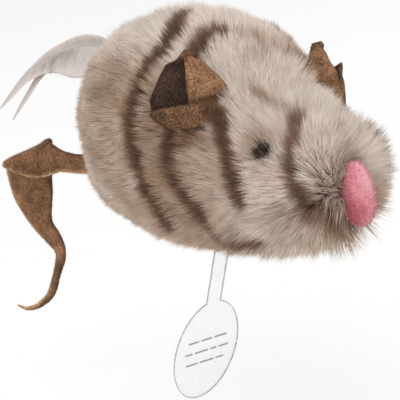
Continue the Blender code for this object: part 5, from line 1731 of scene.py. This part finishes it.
class MOUSE_OT_tab(bpy.types.Operator):
    """Cut the film tab, its frosted edge and its printed rules"""
    bl_idname = "mouse.tab"
    bl_label = "Pull tab"

    def execute(self, context):
        film, edge, ink = clear_film(), film_edge(), film_print()
        strip = add_mesh("tab_strip", *block(*(Vector(corner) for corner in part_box("pull_tab_strip"))), film,
                         smooth=False)
        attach(strip, "tab_strip")
        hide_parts("pull_tab_strip")
        place, half, inner = tab_frame(), TAB_THICKNESS / 2, tab_outline(TAB_EDGE_WIDTH)
        level = half * TAB_FACE_SHARE
        pull = add_mesh("tab_pull", *prism(inner, -level, level, place), film, smooth=False)
        band = rim_band("tab_edge", tab_outline(0.0), inner, -half, half, place, edge)
        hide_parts("pull_tab_grip")
        points, faces = [], []
        for rise, spans in TAB_RULES:
            line = -TAB_STEM_LENGTH - TAB_OVAL_LENGTH / 2 + rise * MM
            low, high = line - RULE_HALF_HEIGHT, line + RULE_HALF_HEIGHT
            for start, end in spans:
                start, end = start * MM, end * MM
                corners = [(start, low), (end, low), (end, high), (start, high)]
                more, loops = prism(corners, level, level + RULE_THICKNESS, place, len(points))
                points += more
                faces += loops
        rules = add_mesh("tab_rules", points, faces, ink, smooth=False)
        for item in (pull, band, rules):
            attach(item, "tab_grip")
        return {"FINISHED"}


# Sound module

class MOUSE_OT_sound_module(bpy.types.Operator):
    """Give the sound module its finishes"""
    bl_idname = "mouse.sound_module"
    bl_label = "Sound module"

    def execute(self, context):
        finishes = {
            # Moulded ABS: off-white, satin, with a fine spark-eroded grain
            "white_abs": plain_finish("moulded_white_abs", "#e6e4dd", "#efede7", 1400.0, 0.42, 0.12, ior=1.54),
            # Nickel plate on pressed steel: pale, bright, with faint rolling haze
            "nickel_plate": plain_finish("nickel_plated_steel", "#c9c6bf", "#dad8d2", 500.0, 0.24, 0.05, metallic=1.0),
            # Half-hard brass sheet, blanked: warm yellow with a thin tarnish
            "brass_sheet": plain_finish("rolled_brass_sheet", "#b08a45", "#cfa85e", 300.0, 0.32, 0.06, metallic=1.0),
            # Glass-fibre board under green solder resist: glossy, weave barely showing
            "green_board": plain_finish("green_solder_resist", "#1d5a36", "#2a6e44", 900.0, 0.34, 0.15, ior=1.55),
            # Black epoxy drop over the chip: poured, glossy, slightly wavy
            "black_epoxy": plain_finish("poured_black_epoxy", "#0f0f10", "#1b1b1c", 350.0, 0.26, 0.25, ior=1.55),
            # PVC wire covering, extruded: satin red and black
            "red_insulation": plain_finish("red_pvc_insulation", "#a8211d", "#bf2c26", 700.0, 0.45, 0.08, ior=1.53),
            "black_insulation": plain_finish("black_pvc_insulation", "#151516", "#222223", 700.0, 0.45, 0.08,
                                             ior=1.53),
        }
        for name in ("case_base", "case_lid", "case_screw_front", "case_screw_rear", "circuit_board", "sound_chip",
                     "sounder_disc", "lead_red", "lead_black", "button_cell_1", "button_cell_2", "button_cell_3",
                     "contact_rear", "contact_front", "vibration_spring", "vibration_pin"):
            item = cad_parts[name]
            for slot in item.material_slots:
                word = next((key for key in finishes if slot.material and slot.material.name.startswith(key)), None)
                if word is None:
                    raise RuntimeError(name + " has a finish that is not listed: " + str(slot.material))
                slot.material = finishes[word]
        return {"FINISHED"}


class MOUSE_PT_sidebar(bpy.types.Panel):
    """Buttons for the stage and each group of pieces"""
    bl_idname = "MOUSE_PT_sidebar"
    bl_label = "Plush Mouse"
    bl_space_type = "VIEW_3D"
    bl_region_type = "UI"
    bl_category = "Plush Mouse"

    def draw(self, context):
        for operator in OPERATORS:
            self.layout.operator(operator.bl_idname)
        toy = context.scene.mouse_toy
        for group in (toy.pile, toy.suede, toy.trim, toy.stage):
            box = self.layout.box()
            for name in group.bl_rna.properties.keys():
                if name not in ("rna_type", "name"):
                    box.prop(group, name)


OPERATORS = (MOUSE_OT_stage, MOUSE_OT_body, MOUSE_OT_ears, MOUSE_OT_nose, MOUSE_OT_eyes, MOUSE_OT_tail,
             MOUSE_OT_feathers, MOUSE_OT_tab, MOUSE_OT_pile, MOUSE_OT_sound_module)
CLASSES = (PileSettings, SuedeSettings, TrimSettings, StageSettings, MouseToySettings, *OPERATORS,
           MOUSE_PT_sidebar)


def register():
    for item in CLASSES:
        bpy.utils.register_class(item)
    bpy.types.Scene.mouse_toy = bpy.props.PointerProperty(type=MouseToySettings)


def unregister():
    del bpy.types.Scene.mouse_toy
    for item in reversed(CLASSES):
        bpy.utils.unregister_class(item)


def main():
    register()
    for operator in OPERATORS:
        group, name = operator.bl_idname.split(".")
        result = getattr(getattr(bpy.ops, group), name)()
        if result != {"FINISHED"}:
            raise RuntimeError(operator.bl_label + " did not finish")


if __name__ == "__main__":
    main()
